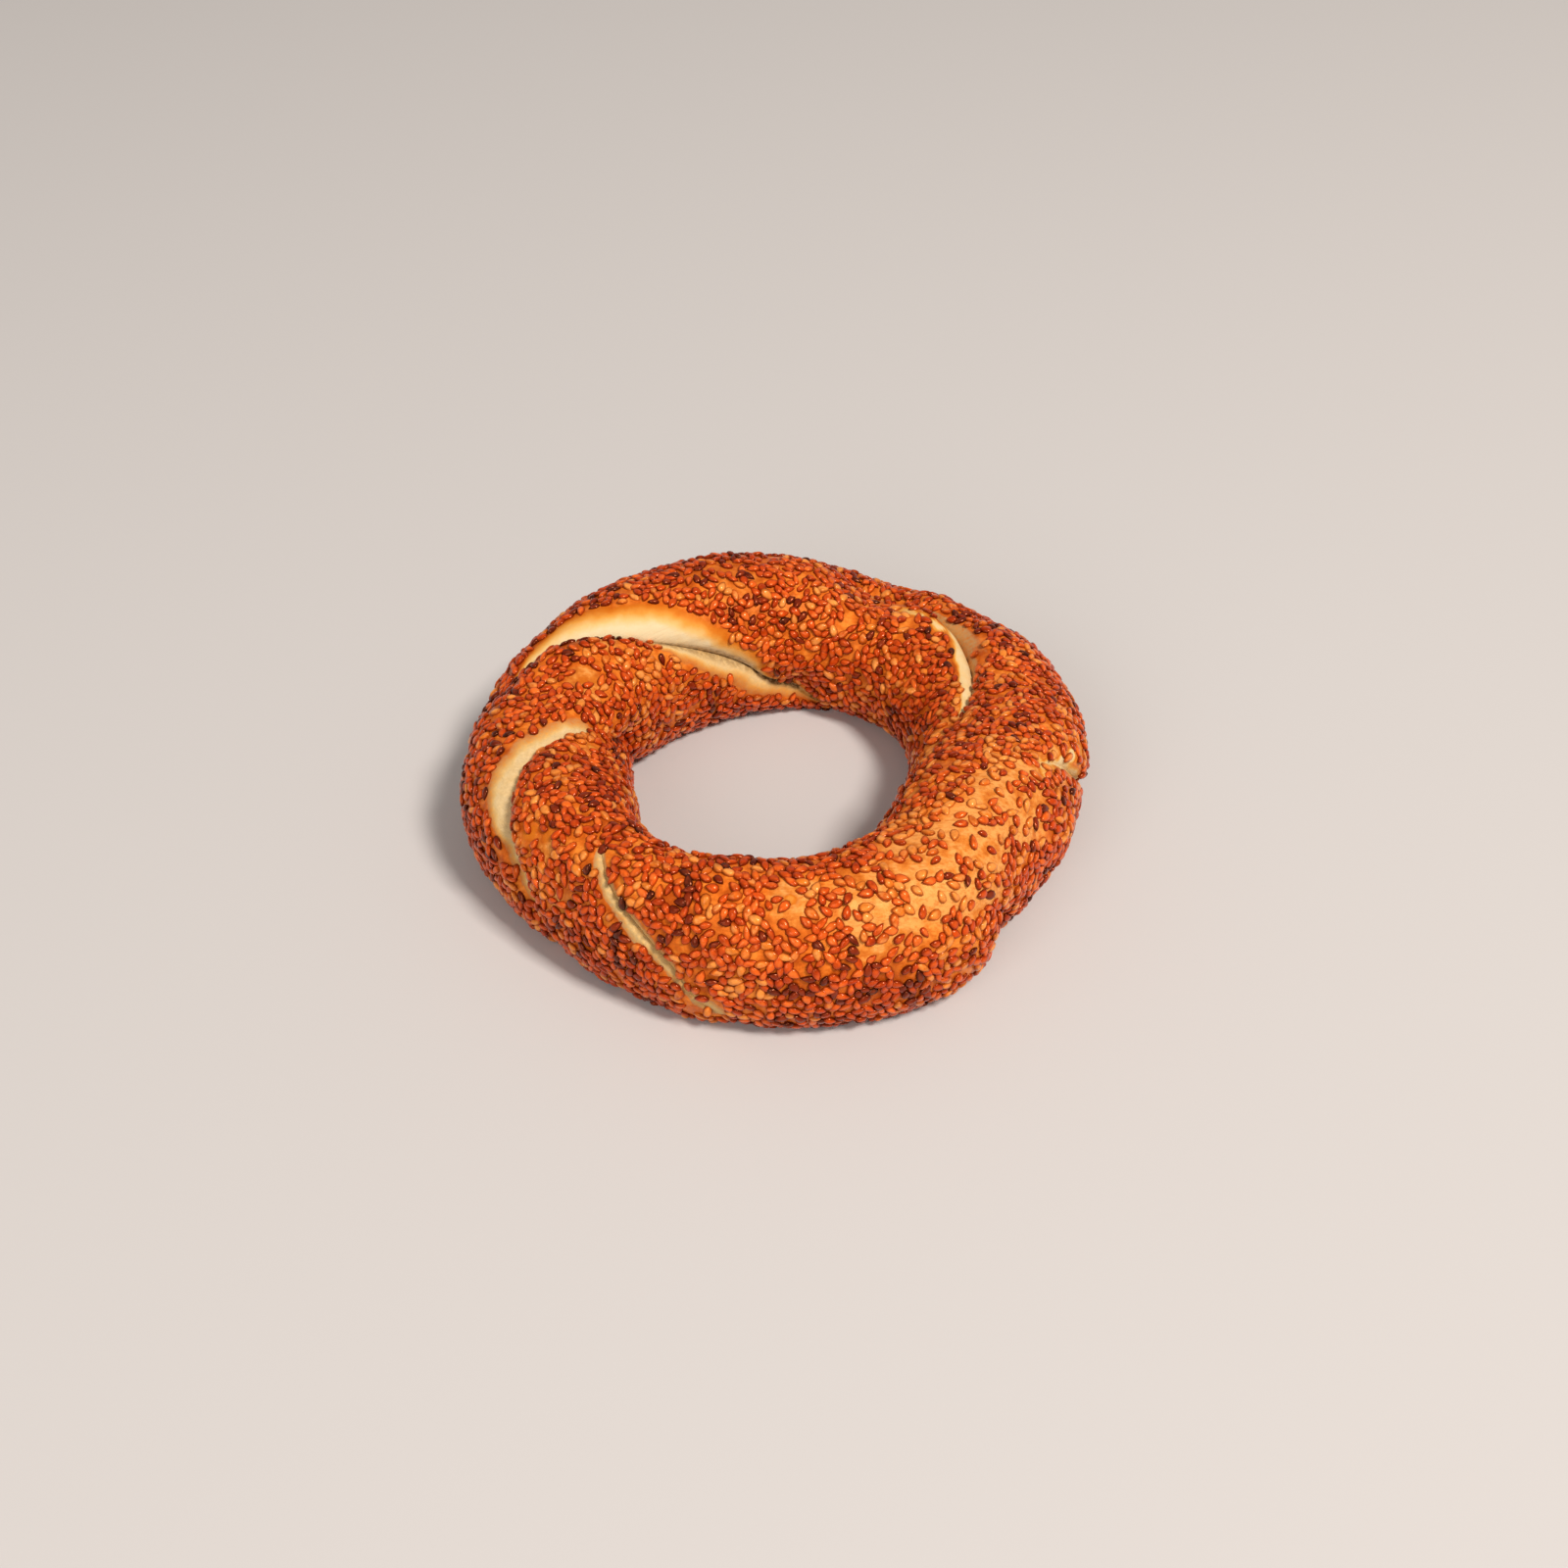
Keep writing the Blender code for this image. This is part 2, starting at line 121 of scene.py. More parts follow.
# What each burst seam bares, from its crease: turn, cream crumb clockwise, bare dough clockwise,
# cream crumb on the other side, bare dough on the other side
BARED = {
    WIDE: (
        (46, 0.0, 0.0, 0.0, 0.0),
        (54, 0.0, 3.0, 0.0, 0.0),
        (60, 0.2, 6.5, 0.0, 0.1),
        (68, 1.4, 8.5, 0.0, 0.1),
        (78, 1.6, 9.2, 0.0, 0.1),
        (88, 2.2, 9.0, 0.0, 0.1),
        (98, 2.8, 9.8, 0.0, 0.1),
        (108, 3.2, 10.6, 0.0, 0.2),
        (118, 3.6, 10.9, 0.0, 0.3),
        (127, 3.6, 9.8, 0.0, 0.3),
        (135, 3.2, 8.2, 0.1, 0.6),
        (142, 2.6, 6.9, 0.7, 1.6),
        (152, 1.8, 5.2, 1.7, 3.0),
        (162, 1.2, 4.4, 2.2, 4.2),
        (174, 0.6, 3.0, 2.2, 5.2),
        (183, 0.2, 1.6, 1.0, 5.6),
        (192, 0.0, 0.6, 0.1, 5.0),
        (202, 0.0, 0.0, 0.0, 3.4),
        (212, 0.0, 0.0, 0.0, 1.6),
        (220, 0.0, 0.0, 0.0, 0.0),
    ),
    LEFT: (
        (-14, 0.0, 0.0, 0.0, 0.0),
        (-8, 0.0, 0.8, 0.4, 1.4),
        (-3, 0.3, 1.6, 1.0, 2.4),
        (4, 0.6, 1.9, 1.4, 2.8),
        (10, 0.7, 2.1, 1.4, 2.8),
        (16, 1.0, 2.5, 1.0, 2.2),
        (21, 1.3, 3.6, 0.5, 1.4),
        (26, 2.4, 5.6, 0.0, 0.3),
        (32, 4.0, 7.6, 0.0, 0.2),
        (40, 5.0, 8.3, 0.0, 0.2),
        (48, 5.0, 8.1, 0.0, 0.2),
        (56, 4.4, 7.4, 0.0, 0.2),
        (66, 3.2, 6.2, 0.0, 0.2),
        (76, 3.0, 5.8, 0.0, 0.2),
        (86, 2.2, 4.9, 0.0, 0.2),
        (96, 1.5, 4.1, 0.0, 0.2),
        (107, 1.6, 3.5, 0.1, 0.4),
        (117, 0.8, 2.0, 0.2, 0.4),
        (126, 0.1, 0.8, 0.1, 0.3),
        (136, 0.0, 0.0, 0.0, 0.0),
    ),
    FRONT: (
        (-34, 0.0, 0.0, 0.0, 0.0),
        (-28, 0.1, 0.4, 1.2, 1.9),
        (-20, 0.1, 0.4, 1.7, 2.5),
        (-12, 0.2, 0.5, 1.6, 2.4),
        (-7, 0.2, 0.6, 0.9, 1.5),
        (-4, 0.4, 0.9, 0.3, 0.8),
        (0, 0.7, 1.3, 0.7, 1.2),
        (8, 1.1, 1.8, 1.0, 1.6),
        (20, 1.3, 2.0, 1.1, 1.8),
        (32, 1.3, 2.1, 1.0, 1.7),
        (44, 1.1, 1.8, 0.8, 1.5),
        (56, 0.7, 1.4, 0.4, 1.0),
        (68, 0.3, 0.9, 0.2, 0.7),
        (77, 0.0, 0.0, 0.0, 0.0),
    ),
    BACK: (
        (58, 0.0, 0.0, 0.0, 0.0),
        (63, 0.0, 0.3, 1.0, 2.6),
        (68, 0.0, 0.4, 1.6, 3.0),
        (72, 0.0, 0.8, 1.7, 2.9),
        (76, 0.0, 2.2, 1.6, 2.6),
        (80, 0.1, 3.6, 1.5, 2.2),
        (85, 0.1, 3.4, 1.6, 2.2),
        (89, 0.1, 2.0, 1.8, 2.4),
        (93, 0.1, 0.9, 2.0, 2.6),
        (98, 0.1, 0.6, 2.3, 2.9),
        (105, 0.2, 0.6, 2.5, 3.1),
        (112, 0.2, 0.5, 2.3, 2.8),
        (118, 0.1, 0.3, 1.4, 1.9),
        (124, 0.0, 0.0, 0.0, 0.0),
    ),
    SIDE: (
        (-12, 0.0, 0.0, 0.0, 0.0),
        (4, 0.7, 1.5, 0.6, 1.4),
        (18, 0.8, 1.8, 0.6, 1.6),
        (34, 0.5, 1.4, 0.4, 1.5),
        (50, 0.2, 1.0, 0.2, 0.9),
        (62, 0.0, 0.0, 0.0, 0.0),
    ),
}
# Spots that lost their seeds and skin: bearing, turn, reach, how brown they are
BARE_SPOTS = (
    (348, 57, 1.1, 0.40),
    (346.5, 53, 1.1, 0.30),
    (345, 48.5, 1.1, 0.40),
    (353, 37, 1.8, 0.05),
    (357, 33, 1.7, 0.10),
    (354, 28, 1.5, 0.20),
    (350, 45, 1.4, 0.50),
    (361, 27, 2.0, 0.60),
    (214, 46, 1.7, 0.84),
    (218, 52, 1.5, 0.88),
    (162, 110, 1.3, 0.88),
    (160, 118, 1.1, 0.88),
    (274, 68, 1.5, 0.60),
    (190, 126, 1.6, 0.55),
    (57.5, 91, 1.2, 0.45),
    (54.5, 91.5, 1.4, 0.30),
    (51.5, 91, 1.5, 0.20),
    (48.5, 91.5, 1.6, 0.15),
    (46, 92.5, 1.6, 0.15),
)
# Their edges fade over this much to each side
SPOT_SOFTNESS = 0.5
# How far what a seam bares has browned at its crease, clockwise and on the other side, and how dull its
# crumb is on each side, which is partly painted shade inside cracks and recesses
BROWNED = {
    WIDE: (0.0, 0.16, 0.0, 0.35),
    LEFT: (0.12, 0.15, 0.55, 0.3),
    FRONT: (0.25, 0.25, 0.9, 0.8),
    BACK: (0.5, 0.12, 0.8, 0.0),
    SIDE: (0.12, 0.1, 0.1, 0.0),
}
# A bare band shows in full from this width up, and its browning ends this far past its edge. Where it shows
# less, a place counts as up to this much further past the edge, and beside a whole seam as this far off
BAND_SHOWS = 0.6
BAND_SOFTNESS = 0.5
BAND_CLOSES = 2.0
FAR_OFF = 99.0
# Painted shade in a crease, up to a dark gap one cannot see into: seam, turns at which it starts, is widest
# and ends, reach, how dark the painted shade is
CREVICES = (
    (WIDE, 124, 168, 200, 2.1, 0.45),
    (WIDE, 168, 198, 234, 1.3, 0.9),
)
# It starts to show and shows in full at these widths, is darkest over this share of its width, and ends this
# far past it
CREVICE_WIDTHS = (0.05, 0.3)
CREVICE_CORE = 0.4
CREVICE_SOFTNESS = 0.1
# The edges of what is bared wander by this much, over this distance
EDGE_WANDER = ((0.8, 6.0), (0.6, 2.2))

# Where the sesame lies thinly: bearing, turn, reach, how thinly, where 1 adds all of SEED_APART between seeds
THIN_PLACES = (
    (290, 50, 15, 0.22),
    (306, 66, 16, 0.32),
    (311, 42, 12, 0.28),
    (318, 57, 12, 0.34),
    (330, 54, 14, 0.32),
    (342, 51, 12, 0.24),
    (275, 67, 7, 0.36),
    (162, 110, 5, 0.50),
    (146, 108, 4, 0.30),
    (220, 47, 4, 0.60),
    (227, 14, 4, 0.40),
    (320, 141, 9, 0.20),
    (352, 40, 7, 0.24),
    (8, 135, 12, 0.12),
    (100, 95, 12, 0.10),
    (112, 60, 7, 0.2),
)

# Where the ring has baked more, or less where negative: bearing, turn, reach, amount
TOASTED_PLACES = (
    (150, 70, 16, 0.20),
    (168, 45, 14, 0.14),
    (112, 48, 24, 0.20),
    (92, 80, 26, 0.14),
    (196, 20, 22, 0.16),
    (240, 10, 20, 0.16),
    (222, 100, 14, 0.14),
    (20, 30, 22, 0.14),
    (30, 150, 20, 0.12),
    (285, -5, 24, 0.16),
    (306, 66, 26, -0.22),
    (335, 50, 18, -0.16),
    (70, 112, 18, -0.08),
    (282, 60, 16, -0.10),
)
# Thin and toasted places fade out between these shares of their reach
THIN_FADES = (0.35, 1.1)
TOAST_FADES = (0.2, 1.2)
# Uneven baking besides: how much, over what distance
TOAST_PATCHES = ((0.30, 11.0), (0.26, 4.5))
# The flat underside keeps this share of the sesame, has baked this much more on the tray, and gives way to
# the sides between these heights
SEEDED_UNDER = 0.3
TOASTED_UNDER = 0.35
UNDER_ENDS = (0.6, 1.6)
# Share of the seeds missing in small patches, the patches' spacing, and the values of their noise between
# which a patch grows
SEED_PATCHES = (0.16, 2.8)
PATCH_GROWS = (0.05, 0.4)
# The sesame grows from bare to thick between these distances past the edge of what is bared
SEEDED_PAST = (-0.3, 0.9)

# Crumb that tore apart stands in strands this high and this wide, up to this much browning. Their noise reads
# places that are squeezed across the crease, which draws the strands out across it, and has its own start
TORN_HEIGHT = 0.22
TORN_WIDTH = 0.9
TORN_UNTIL = 0.5
TORN_SQUEEZE = (0.28, 1.0, 1.0)
TORN_START = 3.0
# Places along a crease are measured on a section of this radius
SECTION_RADIUS = 18.0
# The crust is raised this much off the floor, because the sesame under it carries it
CRUST_CLEAR = 0.3

# Mesh: columns in each strand, crowded towards the seams, rows over the body, and rows across the flat
COLUMNS = 92
CROWDING = 0.72
ROWS_OVER = 152
ROWS_FLAT = 22

# Sesame

# Length, width and thickness of a seed, and the points round its outline
SEED_SIZE = (3.4, 2.12, 1.2)
SEED_SIDES = 10
# Rings of a seed from underneath to its top: share of the outline, share of the half thickness, rim
SEED_PROFILE = ((0.68, -0.8, 1.0), (1.0, -0.1, 1.0), (0.84, 0.52, 0.7), (0.48, 0.9, 0.0))
# Its lowest point, as a share of the half thickness
SEED_BELLY = -0.9
# Kinds, from the least baked: name, share of the draw at which it starts and ends, length and width against
# SEED_SIZE, how pointed it is, finish
SEED_KINDS = (
    ("sesame_golden", -1.0, 0.24, (1.02, 1.03), 0.5, "golden sesame"),
    ("sesame_toasted", 0.24, 0.60, (1.0, 1.0), 0.65, "toasted sesame"),
    ("sesame_red", 0.60, 0.97, (0.98, 0.98), 0.55, "well toasted sesame"),
    ("sesame_dark", 0.97, 2.0, (0.97, 0.94), 0.7, "burnt sesame"),
)

# Least distance between seeds, seeds tried on each square metre, and the share of the places that a seed
# takes where the sesame lies thick
SEED_SPACING = 1.72
SEED_CROWD = 1.4e6
SEED_FILL = 0.95
# Where the sesame lies thinly, seeds keep up to this much further apart, which takes this many rounds of
# leaving seeds out
SEED_APART = 0.85
THINNING_ROUNDS = 2
# A seed's rim lies this much over the crust and up to this much more, and a seed leans by up to this angle
SEED_RAISED = 0.02
SEED_STACK = 0.42
SEED_TILT = 15.0
# Share of the seeds that are burnt wherever they lie
BURNT_SHARE = 0.02
# What is drawn at random for each seed: lowest, highest, and its own number, added to SCATTER_START
SCATTER_START = 5
DRAWS = {
    "heading": ((-0.9, -0.9, -0.9), (0.9, 0.9, 0.9), 11.0),
    "kind": (0.0, 1.0, 23.0),
    "burnt": (0.0, 1.0, 29.0),
    "lift": (0.0, 1.0, 31.0),
    "lean": ((-1.0, -1.0, 0.0), (1.0, 1.0, 0.0), 43.0),
    "scale": ((0.8, 0.78, 0.8), (1.14, 1.14, 1.25), 57.0),
    "tint": (0.0, 1.0, 71.0),
}

# Finishes

# Skin from lightly to well baked, where the sesame lies thick and where it lies thinly; the deeper skin
# where it lies thick partly paints the shade between the seeds
DEEP_SKIN = ((0.34, "#EA842E"), (0.5, "#D8681C"), (0.7, "#AE480E"))
PALE_SKIN = ((0.34, "#E69A50"), (0.5, "#D87E30"), (0.68, "#BC5818"))
# From the crumb's cream over straw and gold to the skin
CRUMB = ((0.0, "#DEC79C"), (0.25, "#E0B470"), (0.5, "#DC923C"), (0.75, "#CE701C"), (1.0, "#C05A0E"))
SKIN_STREAK = "#B45814"
# Duller crumb, which partly paints the shade in cracks and in the recess under a lip
DULL_SHADED_CRUMB = "#B49668"
CREVICE_SHADE = "#553410"
CRUST_SHINE = "#FFB070"
SEED_SHINE = "#FF8C46"
# Grain of the patterns: spacing of the blobs, detail, roughness
BAKE_GRAIN = (2.6, 4.0, 0.6)
STREAK_GRAIN = (0.9, 4.0, 0.6)
SPECKLE_GRAIN = (0.8, 4.0, 0.7)
CREVICE_GRAIN = (1.4, 2.0, 0.55)
WRINKLE_GRAIN = (1.3, 5.0, 0.62)
STRAND_GRAIN = (0.625, 6.0, 0.65)
MOTTLE_GRAIN = (1.3, 3.0, 0.55)
HIGHLIGHT_GRAIN = (1.9, 2.0, 0.55)
# Where a number is low, the pattern is drawn out: streaks along X, the crumb's strands across their crease
STREAK_STRETCH = (0.45, 1.3, 1.3)
STRAND_STRETCH = (0.35, 1.5, 1.0)
# Value of a map or a pattern at which a look starts and is full, and its strength there, 0 and 1 if not given
PALE_SPAN = (0.03, 0.2)
SKIN_SPAN = (0.86, 1.0)
CRUMB_SPAN = (0.5, 0.05)
GLOSS_SPAN = (0.1, 0.9, 0.85, 0.34)
STREAK_SPAN = (0.46, 0.66, 0.0, 0.55)
SPECKLE_SPAN = (0.35, 0.65, 0.25, 1.0)
CREVICE_SPAN = (0.38, 0.58, 0.25, 1.0)
MOTTLE_SPAN = (0.3, 0.7, 0.66, 1.24)
HIGHLIGHT_SPAN = (0.4, 0.62, 0.0, 0.6)
CROWN_SPAN = (0.45, 0.0)
RIM_SPAN = (0.3, 0.9, 0.0, 0.72)
# How much toasted places change the skin's bake, and wisps the crumb's edge, counted from the middle of their
# noise, and the height of the relief
TOAST_SHOWS = 0.55
WISPS_SHOW = 0.3
NOISE_MIDDLE = 0.5
CRUST_RELIEF = 0.35
# Seeds: tints from the darkest seed to the palest, painted highlight on the crown, rim partly painted
# contact shadow, roughness
SEED_FINISHES = {
    # Paler golden orange seeds, which catch the light
    "golden sesame": (
        ((0.0, "#C65012"), (0.5, "#D8701F"), (1.0, "#E48A3C")),
        "#EE9A50",
        "#842A06",
        0.28,
    ),
    # The common orange seed, which sets the ring's colour
    "toasted sesame": (
        ((0.0, "#BA3C08"), (0.5, "#CE4A0E"), (1.0, "#DE5E1A")),
        "#E87430",
        "#5C1604",
        0.27,
    ),
    # Red brown seeds where the ring baked most
    "well toasted sesame": (
        ((0.0, "#A02C06"), (0.5, "#B63808"), (1.0, "#C8460E")),
        "#D85A1E",
        "#4A1004",
        0.27,
    ),
    # Dark brown to nearly black seeds, which give the coat its speckle
    "burnt sesame": (
        ((0.0, "#38120C"), (0.3, "#5E1608"), (1.0, "#842206")),
        "#8A3418",
        "#280A04",
        0.27,
    ),
}

# The setting

# The camera: its height above the horizon, its focal length in pixels and the frame's width, its sensor in
# millimetres, metres to the ring's middle and to the nearest thing shown, and the middle's place in pixels
VIEW_ELEVATION = 40.0
FOCAL_PX = 2150.0
FRAME_PX = 1600.0
SENSOR = 36.0
VIEW_DISTANCE = 0.5
VIEW_NEAREST = 0.01
MIDDLE_PX = (788.3, 844.5)
# Lights: place and width in metres, power in watts, colour
LIGHTS = {
    "key": ((1.0, -0.95, 2.0), 0.55, 59.0, "#FFFAF4"),
    "fill": ((-0.8, -1.7, 1.1), 1.2, 16.0, "#FFFFFF"),
}
LIT_POINT = (0.0, 0.0, 0.02)
AIR_COLOUR = "#FFFCF6"
AIR_STRENGTH = 0.32
# Half the floor's width, in metres
FLOOR_REACH = 3.0
FLOOR_COLOUR = "#C6C0BD"


def smooth(value, low, high):
    """0 at low, 1 at high, with a soft start and end."""
    share = np.clip((value - low) / (high - low), 0.0, 1.0)
    return share * share * (3.0 - 2.0 * share)


def blend_round(bearings, values, at):
    """Values known at some bearings, blended softly all the way round the ring."""
    order = np.argsort(bearings)
    known = np.asarray(bearings, float)[order]
    value = np.asarray(values, float)[order]
    known = np.append(known, known[0] + 360.0)
    value = np.append(value, value[0])
    bearing = (at - known[0]) % 360.0 + known[0]
    gap = np.clip(np.searchsorted(known, bearing, side="right") - 1, 0, len(known) - 2)
    share = (bearing - known[gap]) / (known[gap + 1] - known[gap])
    share = 0.5 - 0.5 * np.cos(math.pi * share)
    return value[gap] * (1.0 - share) + value[gap + 1] * share


def power(value, exponent):
    """A power that keeps the sign."""
    return np.sign(value) * np.abs(value) ** exponent


def plain_surface(bearing, turn):
    """Points of the ring before its seams are pressed in, mm."""
    outside, reach, inside, hole, height = (np.array(column) for column in zip(*BULGES))
    outer = blend_round(outside, reach, bearing)
    inner = blend_round(inside, hole, bearing)
    crest = blend_round(outside, height, bearing)
    waist = WAIST * crest
    across = np.cos(np.radians(turn))
    up = np.sin(np.radians(turn))
    squareness = np.where(up >= 0.0, UPPER_SQUARENESS, LOWER_SQUARENESS)
    radius = (outer + inner) / 2.0 + (outer - inner) / 2.0 * power(across, 2.0 / squareness)
    rise = power(up, 2.0 / squareness)
    level = np.where(up >= 0.0, waist + (crest - waist) * rise, waist + waist * (1.0 + OVERREACH) * rise)
    angle = np.radians(bearing)
    return np.stack(
        (radius * np.cos(angle), radius * np.sin(angle), np.maximum(level, 0.0)), axis=-1
    )


def outward(bearing, turn, step=0.5):
    """Unit normals of the plain surface."""
    round_ring = plain_surface(bearing + step, turn) - plain_surface(bearing - step, turn)
    round_dough = plain_surface(bearing, turn + step) - plain_surface(bearing, turn - step)
    normal = np.cross(round_ring, round_dough)
    return normal / np.linalg.norm(normal, axis=-1, keepdims=True)


def spline(knots, values, at):
    """A smooth curve through the values."""
    knots = np.asarray(knots, float)
    values = np.asarray(values, float)
    step = np.diff(knots)
    slope = np.diff(values) / step
    middle = (slope[1:] * step[:-1] + slope[:-1] * step[1:]) / (step[1:] + step[:-1])
    tangent = np.concatenate(([slope[0]], middle, [slope[-1]]))
    gap = np.clip(np.searchsorted(knots, at, side="right") - 1, 0, len(step) - 1)
    s = (at - knots[gap]) / step[gap]
    start = (1.0 + 2.0 * s) * (1.0 - s) ** 2 * values[gap] + s * (1.0 - s) ** 2 * step[gap] * tangent[gap]
    end = s * s * (3.0 - 2.0 * s) * values[gap + 1] - s * s * (1.0 - s) * step[gap] * tangent[gap + 1]
    return start + end


def seam_table(seam):
    """Bearings of a seam at SEAM_TURNS, for any whole number: seam 6 is seam 0 one round later."""
    rounds, index = divmod(seam, len(SEAMS))
    return np.array(SEAMS[index], float) + 360.0 * rounds


def seam_bearing(seam, turn):
    """Bearing of a seam at turns from -90 to 360: over the top, then on underneath."""
    before = seam_table(seam + LANDS_BACK)
    here = seam_table(seam)
    after = seam_table(seam - LANDS_BACK)
    values = (before[-1], (before[-1] + here[0]) / 2, *here, (here[-1] + after[0]) / 2, after[0], after[1])
    return spline(SEAM_KNOTS, values, turn)


def seam_spread(seam, turn, step=1.0):
    """Millimetres square across the seam for each degree of bearing."""
    bearing = seam_bearing(seam, turn)
    radius = np.linalg.norm(plain_surface(bearing, turn)[..., :2], axis=-1)
    chord = plain_surface(bearing, turn + step) - plain_surface(bearing, turn - step)
    along_section = np.linalg.norm(chord, axis=-1) / (2.0 * step)
    lean = (seam_bearing(seam, turn + step) - seam_bearing(seam, turn - step)) / (2.0 * step)
    round_ring = np.radians(lean) * radius
    straightness = along_section / np.hypot(along_section, round_ring)
    return np.radians(1.0) * radius * straightness


def wall(offset, reach):
    """Depth share of a split's wall: sheer at the crease, easing to nothing at its reach."""
    share = np.clip(1.0 - offset / reach, 0.0, 1.0)
    return 1.0 - np.sqrt(1.0 - share * share)


def gape(turn, opens, widest, closes):
    """How far a split has opened at this turn, from 0 to 1."""
    return smooth(turn, opens, widest) * (1.0 - smooth(turn, widest, closes))


def groove_relief(seam, turn, offset):
    """Height that the groove along one seam adds, mm: offset is square to the seam."""
    index = seam % len(SEAMS)
    across = np.cos(np.radians(turn))
    flank = np.where(across >= 0.0, GROOVE_OUTSIDE[index], GROOVE_INSIDE[index])
    level = np.where(np.sin(np.radians(turn)) >= 0.0, GROOVE_CRESTS[index], GROOVE_UNDER)
    depth = level + (flank - level) * across**4
    return -depth * np.clip(1.0 - np.abs(offset) / GROOVE_REACH, 0.0, 1.0) ** 2


def over_the_top(turn):
    """Turns with those of the outer flank's foot read as negative."""
    return np.where(turn > WRAPS_PAST, turn - 360.0, turn)


def burst_relief(seam, turn, offset):
    """Height that the splits along one seam add, mm: offset is clockwise where negative."""
    starts, peaks, ends = LIP_SPAN
    relief = np.zeros(np.shape(offset))
    for index, opens, widest, closes, depth, clockwise, other, lip in SPLITS:
        if index == seam % len(SEAMS):
            opening = gape(over_the_top(turn), opens, widest, closes)
            walls = np.where(offset < 0.0, wall(-offset, clockwise), wall(offset, other))
            rise = smooth(offset, starts, peaks) * (1.0 - smooth(offset, peaks, ends))
            relief = relief + opening * (lip * rise - depth * walls)
    return relief


def distance(points, bearing, turn):
    """How far points lie from one place on the plain surface, mm."""
    centre = plain_surface(np.array(float(bearing)), np.array(float(turn)))
    return np.linalg.norm(points - centre, axis=-1)


def swells(points):
    """Height that the local swells add, mm."""
    height = np.zeros(points.shape[:-1])
    for bearing, turn, reach, rise in SWELLS:
        height = height + rise * (1.0 - smooth(distance(points, bearing, turn), 0.0, reach))
    return height


def noise_at(points, spacing, start=0.0):
    """Smooth noise from about -1 to 1 at points in mm, one blob to each spacing."""
    shift = Vector((start, start, start))
    values = [noise.noise(Vector(point) / spacing + shift) for point in points.reshape(-1, 3)]
    return np.array(values).reshape(points.shape[:-1])


def lumps(points):
    """Slow unevenness, fading to nothing near the tray."""
    return LUMP_HEIGHT * noise_at(points, LUMP_SPACING) * smooth(points[..., 2], *LUMPS_GROW)


def bared_by(seam, turn, offset, wander):
    """How brown a burst seam leaves the dough, 0 for cream crumb to 1 for crust, how far past its edge this
    is, and how dull its crumb is, partly as painted shade."""
    index = seam % len(SEAMS)
    if index not in BARED:
        return np.ones(offset.shape), np.full(offset.shape, FAR_OFF), np.zeros(offset.shape)
    table = np.array(BARED[index])
    here = over_the_top(turn) + np.zeros(offset.shape)
    cream_before, bare_before, cream_past, bare_past = (
        np.interp(here, table[:, 0], table[:, column]) for column in range(1, 5)
    )
    clockwise = offset < 0.0
    cream = np.where(clockwise, cream_before, cream_past)
    bare = np.where(clockwise, bare_before, bare_past)
    start_before, start_past, dull_before, dull_past = BROWNED[index]
    start = np.where(clockwise, start_before, start_past)
    away = np.abs(offset) + wander
    shown = smooth(bare, 0.0, BAND_SHOWS)
    brown = start + (1.0 - start) * np.clip((away - cream) / (bare - cream + BAND_SOFTNESS), 0.0, 1.0)
    dull_and_shade = np.where(clockwise, dull_before, dull_past)
    return 1.0 - (1.0 - brown) * shown, away - bare + (1.0 - shown) * BAND_CLOSES, dull_and_shade


def crevice(seam, turn, offset):
    """How dark the painted shade in a seam's crease is, up to 1 for a gap one cannot see into."""
    dark = np.zeros(offset.shape)
    for index, starts, widest, ends, reach, strength in CREVICES:
        if index == seam % len(SEAMS):
            wide = reach * gape(over_the_top(turn), starts, widest, ends)
            past = smooth(np.abs(offset), wide * CREVICE_CORE, wide + CREVICE_SOFTNESS)
            dark = np.maximum(dark, strength * (smooth(wide, *CREVICE_WIDTHS) * (1.0 - past)))
    return dark


def bare_spots(points, wander):
    """How brown the bare spots leave each place, 1 where none lies, and how far past their edges it is."""
    browning = np.ones(points.shape[:-1])
    edge = np.full(points.shape[:-1], FAR_OFF)
    for bearing, turn, reach, brown in BARE_SPOTS:
        past = distance(points, bearing, turn) + wander - reach
        browning = np.minimum(browning, brown + (1.0 - brown) * smooth(past, -SPOT_SOFTNESS, SPOT_SOFTNESS))
        edge = np.minimum(edge, past)
    return browning, edge


def toastedness(points):
    """How much further than the rest each place has baked, from about -0.5 to 0.5."""
    toast = sum(amount * noise_at(points, spacing, spacing) for amount, spacing in TOAST_PATCHES)
    for bearing, turn, reach, amount in TOASTED_PLACES:
        far = distance(points, bearing, turn) / reach
        toast = toast + amount * (1.0 - smooth(far, *TOAST_FADES))
    return toast


def thinness(points):
    """How thinly the sesame lies at each place, from 0 where it lies thick."""
    thin = np.zeros(points.shape[:-1])
    for bearing, turn, reach, share in THIN_PLACES:
        far = distance(points, bearing, turn) / reach
        thin = np.maximum(thin, share * (1.0 - smooth(far, *THIN_FADES)))
    return thin


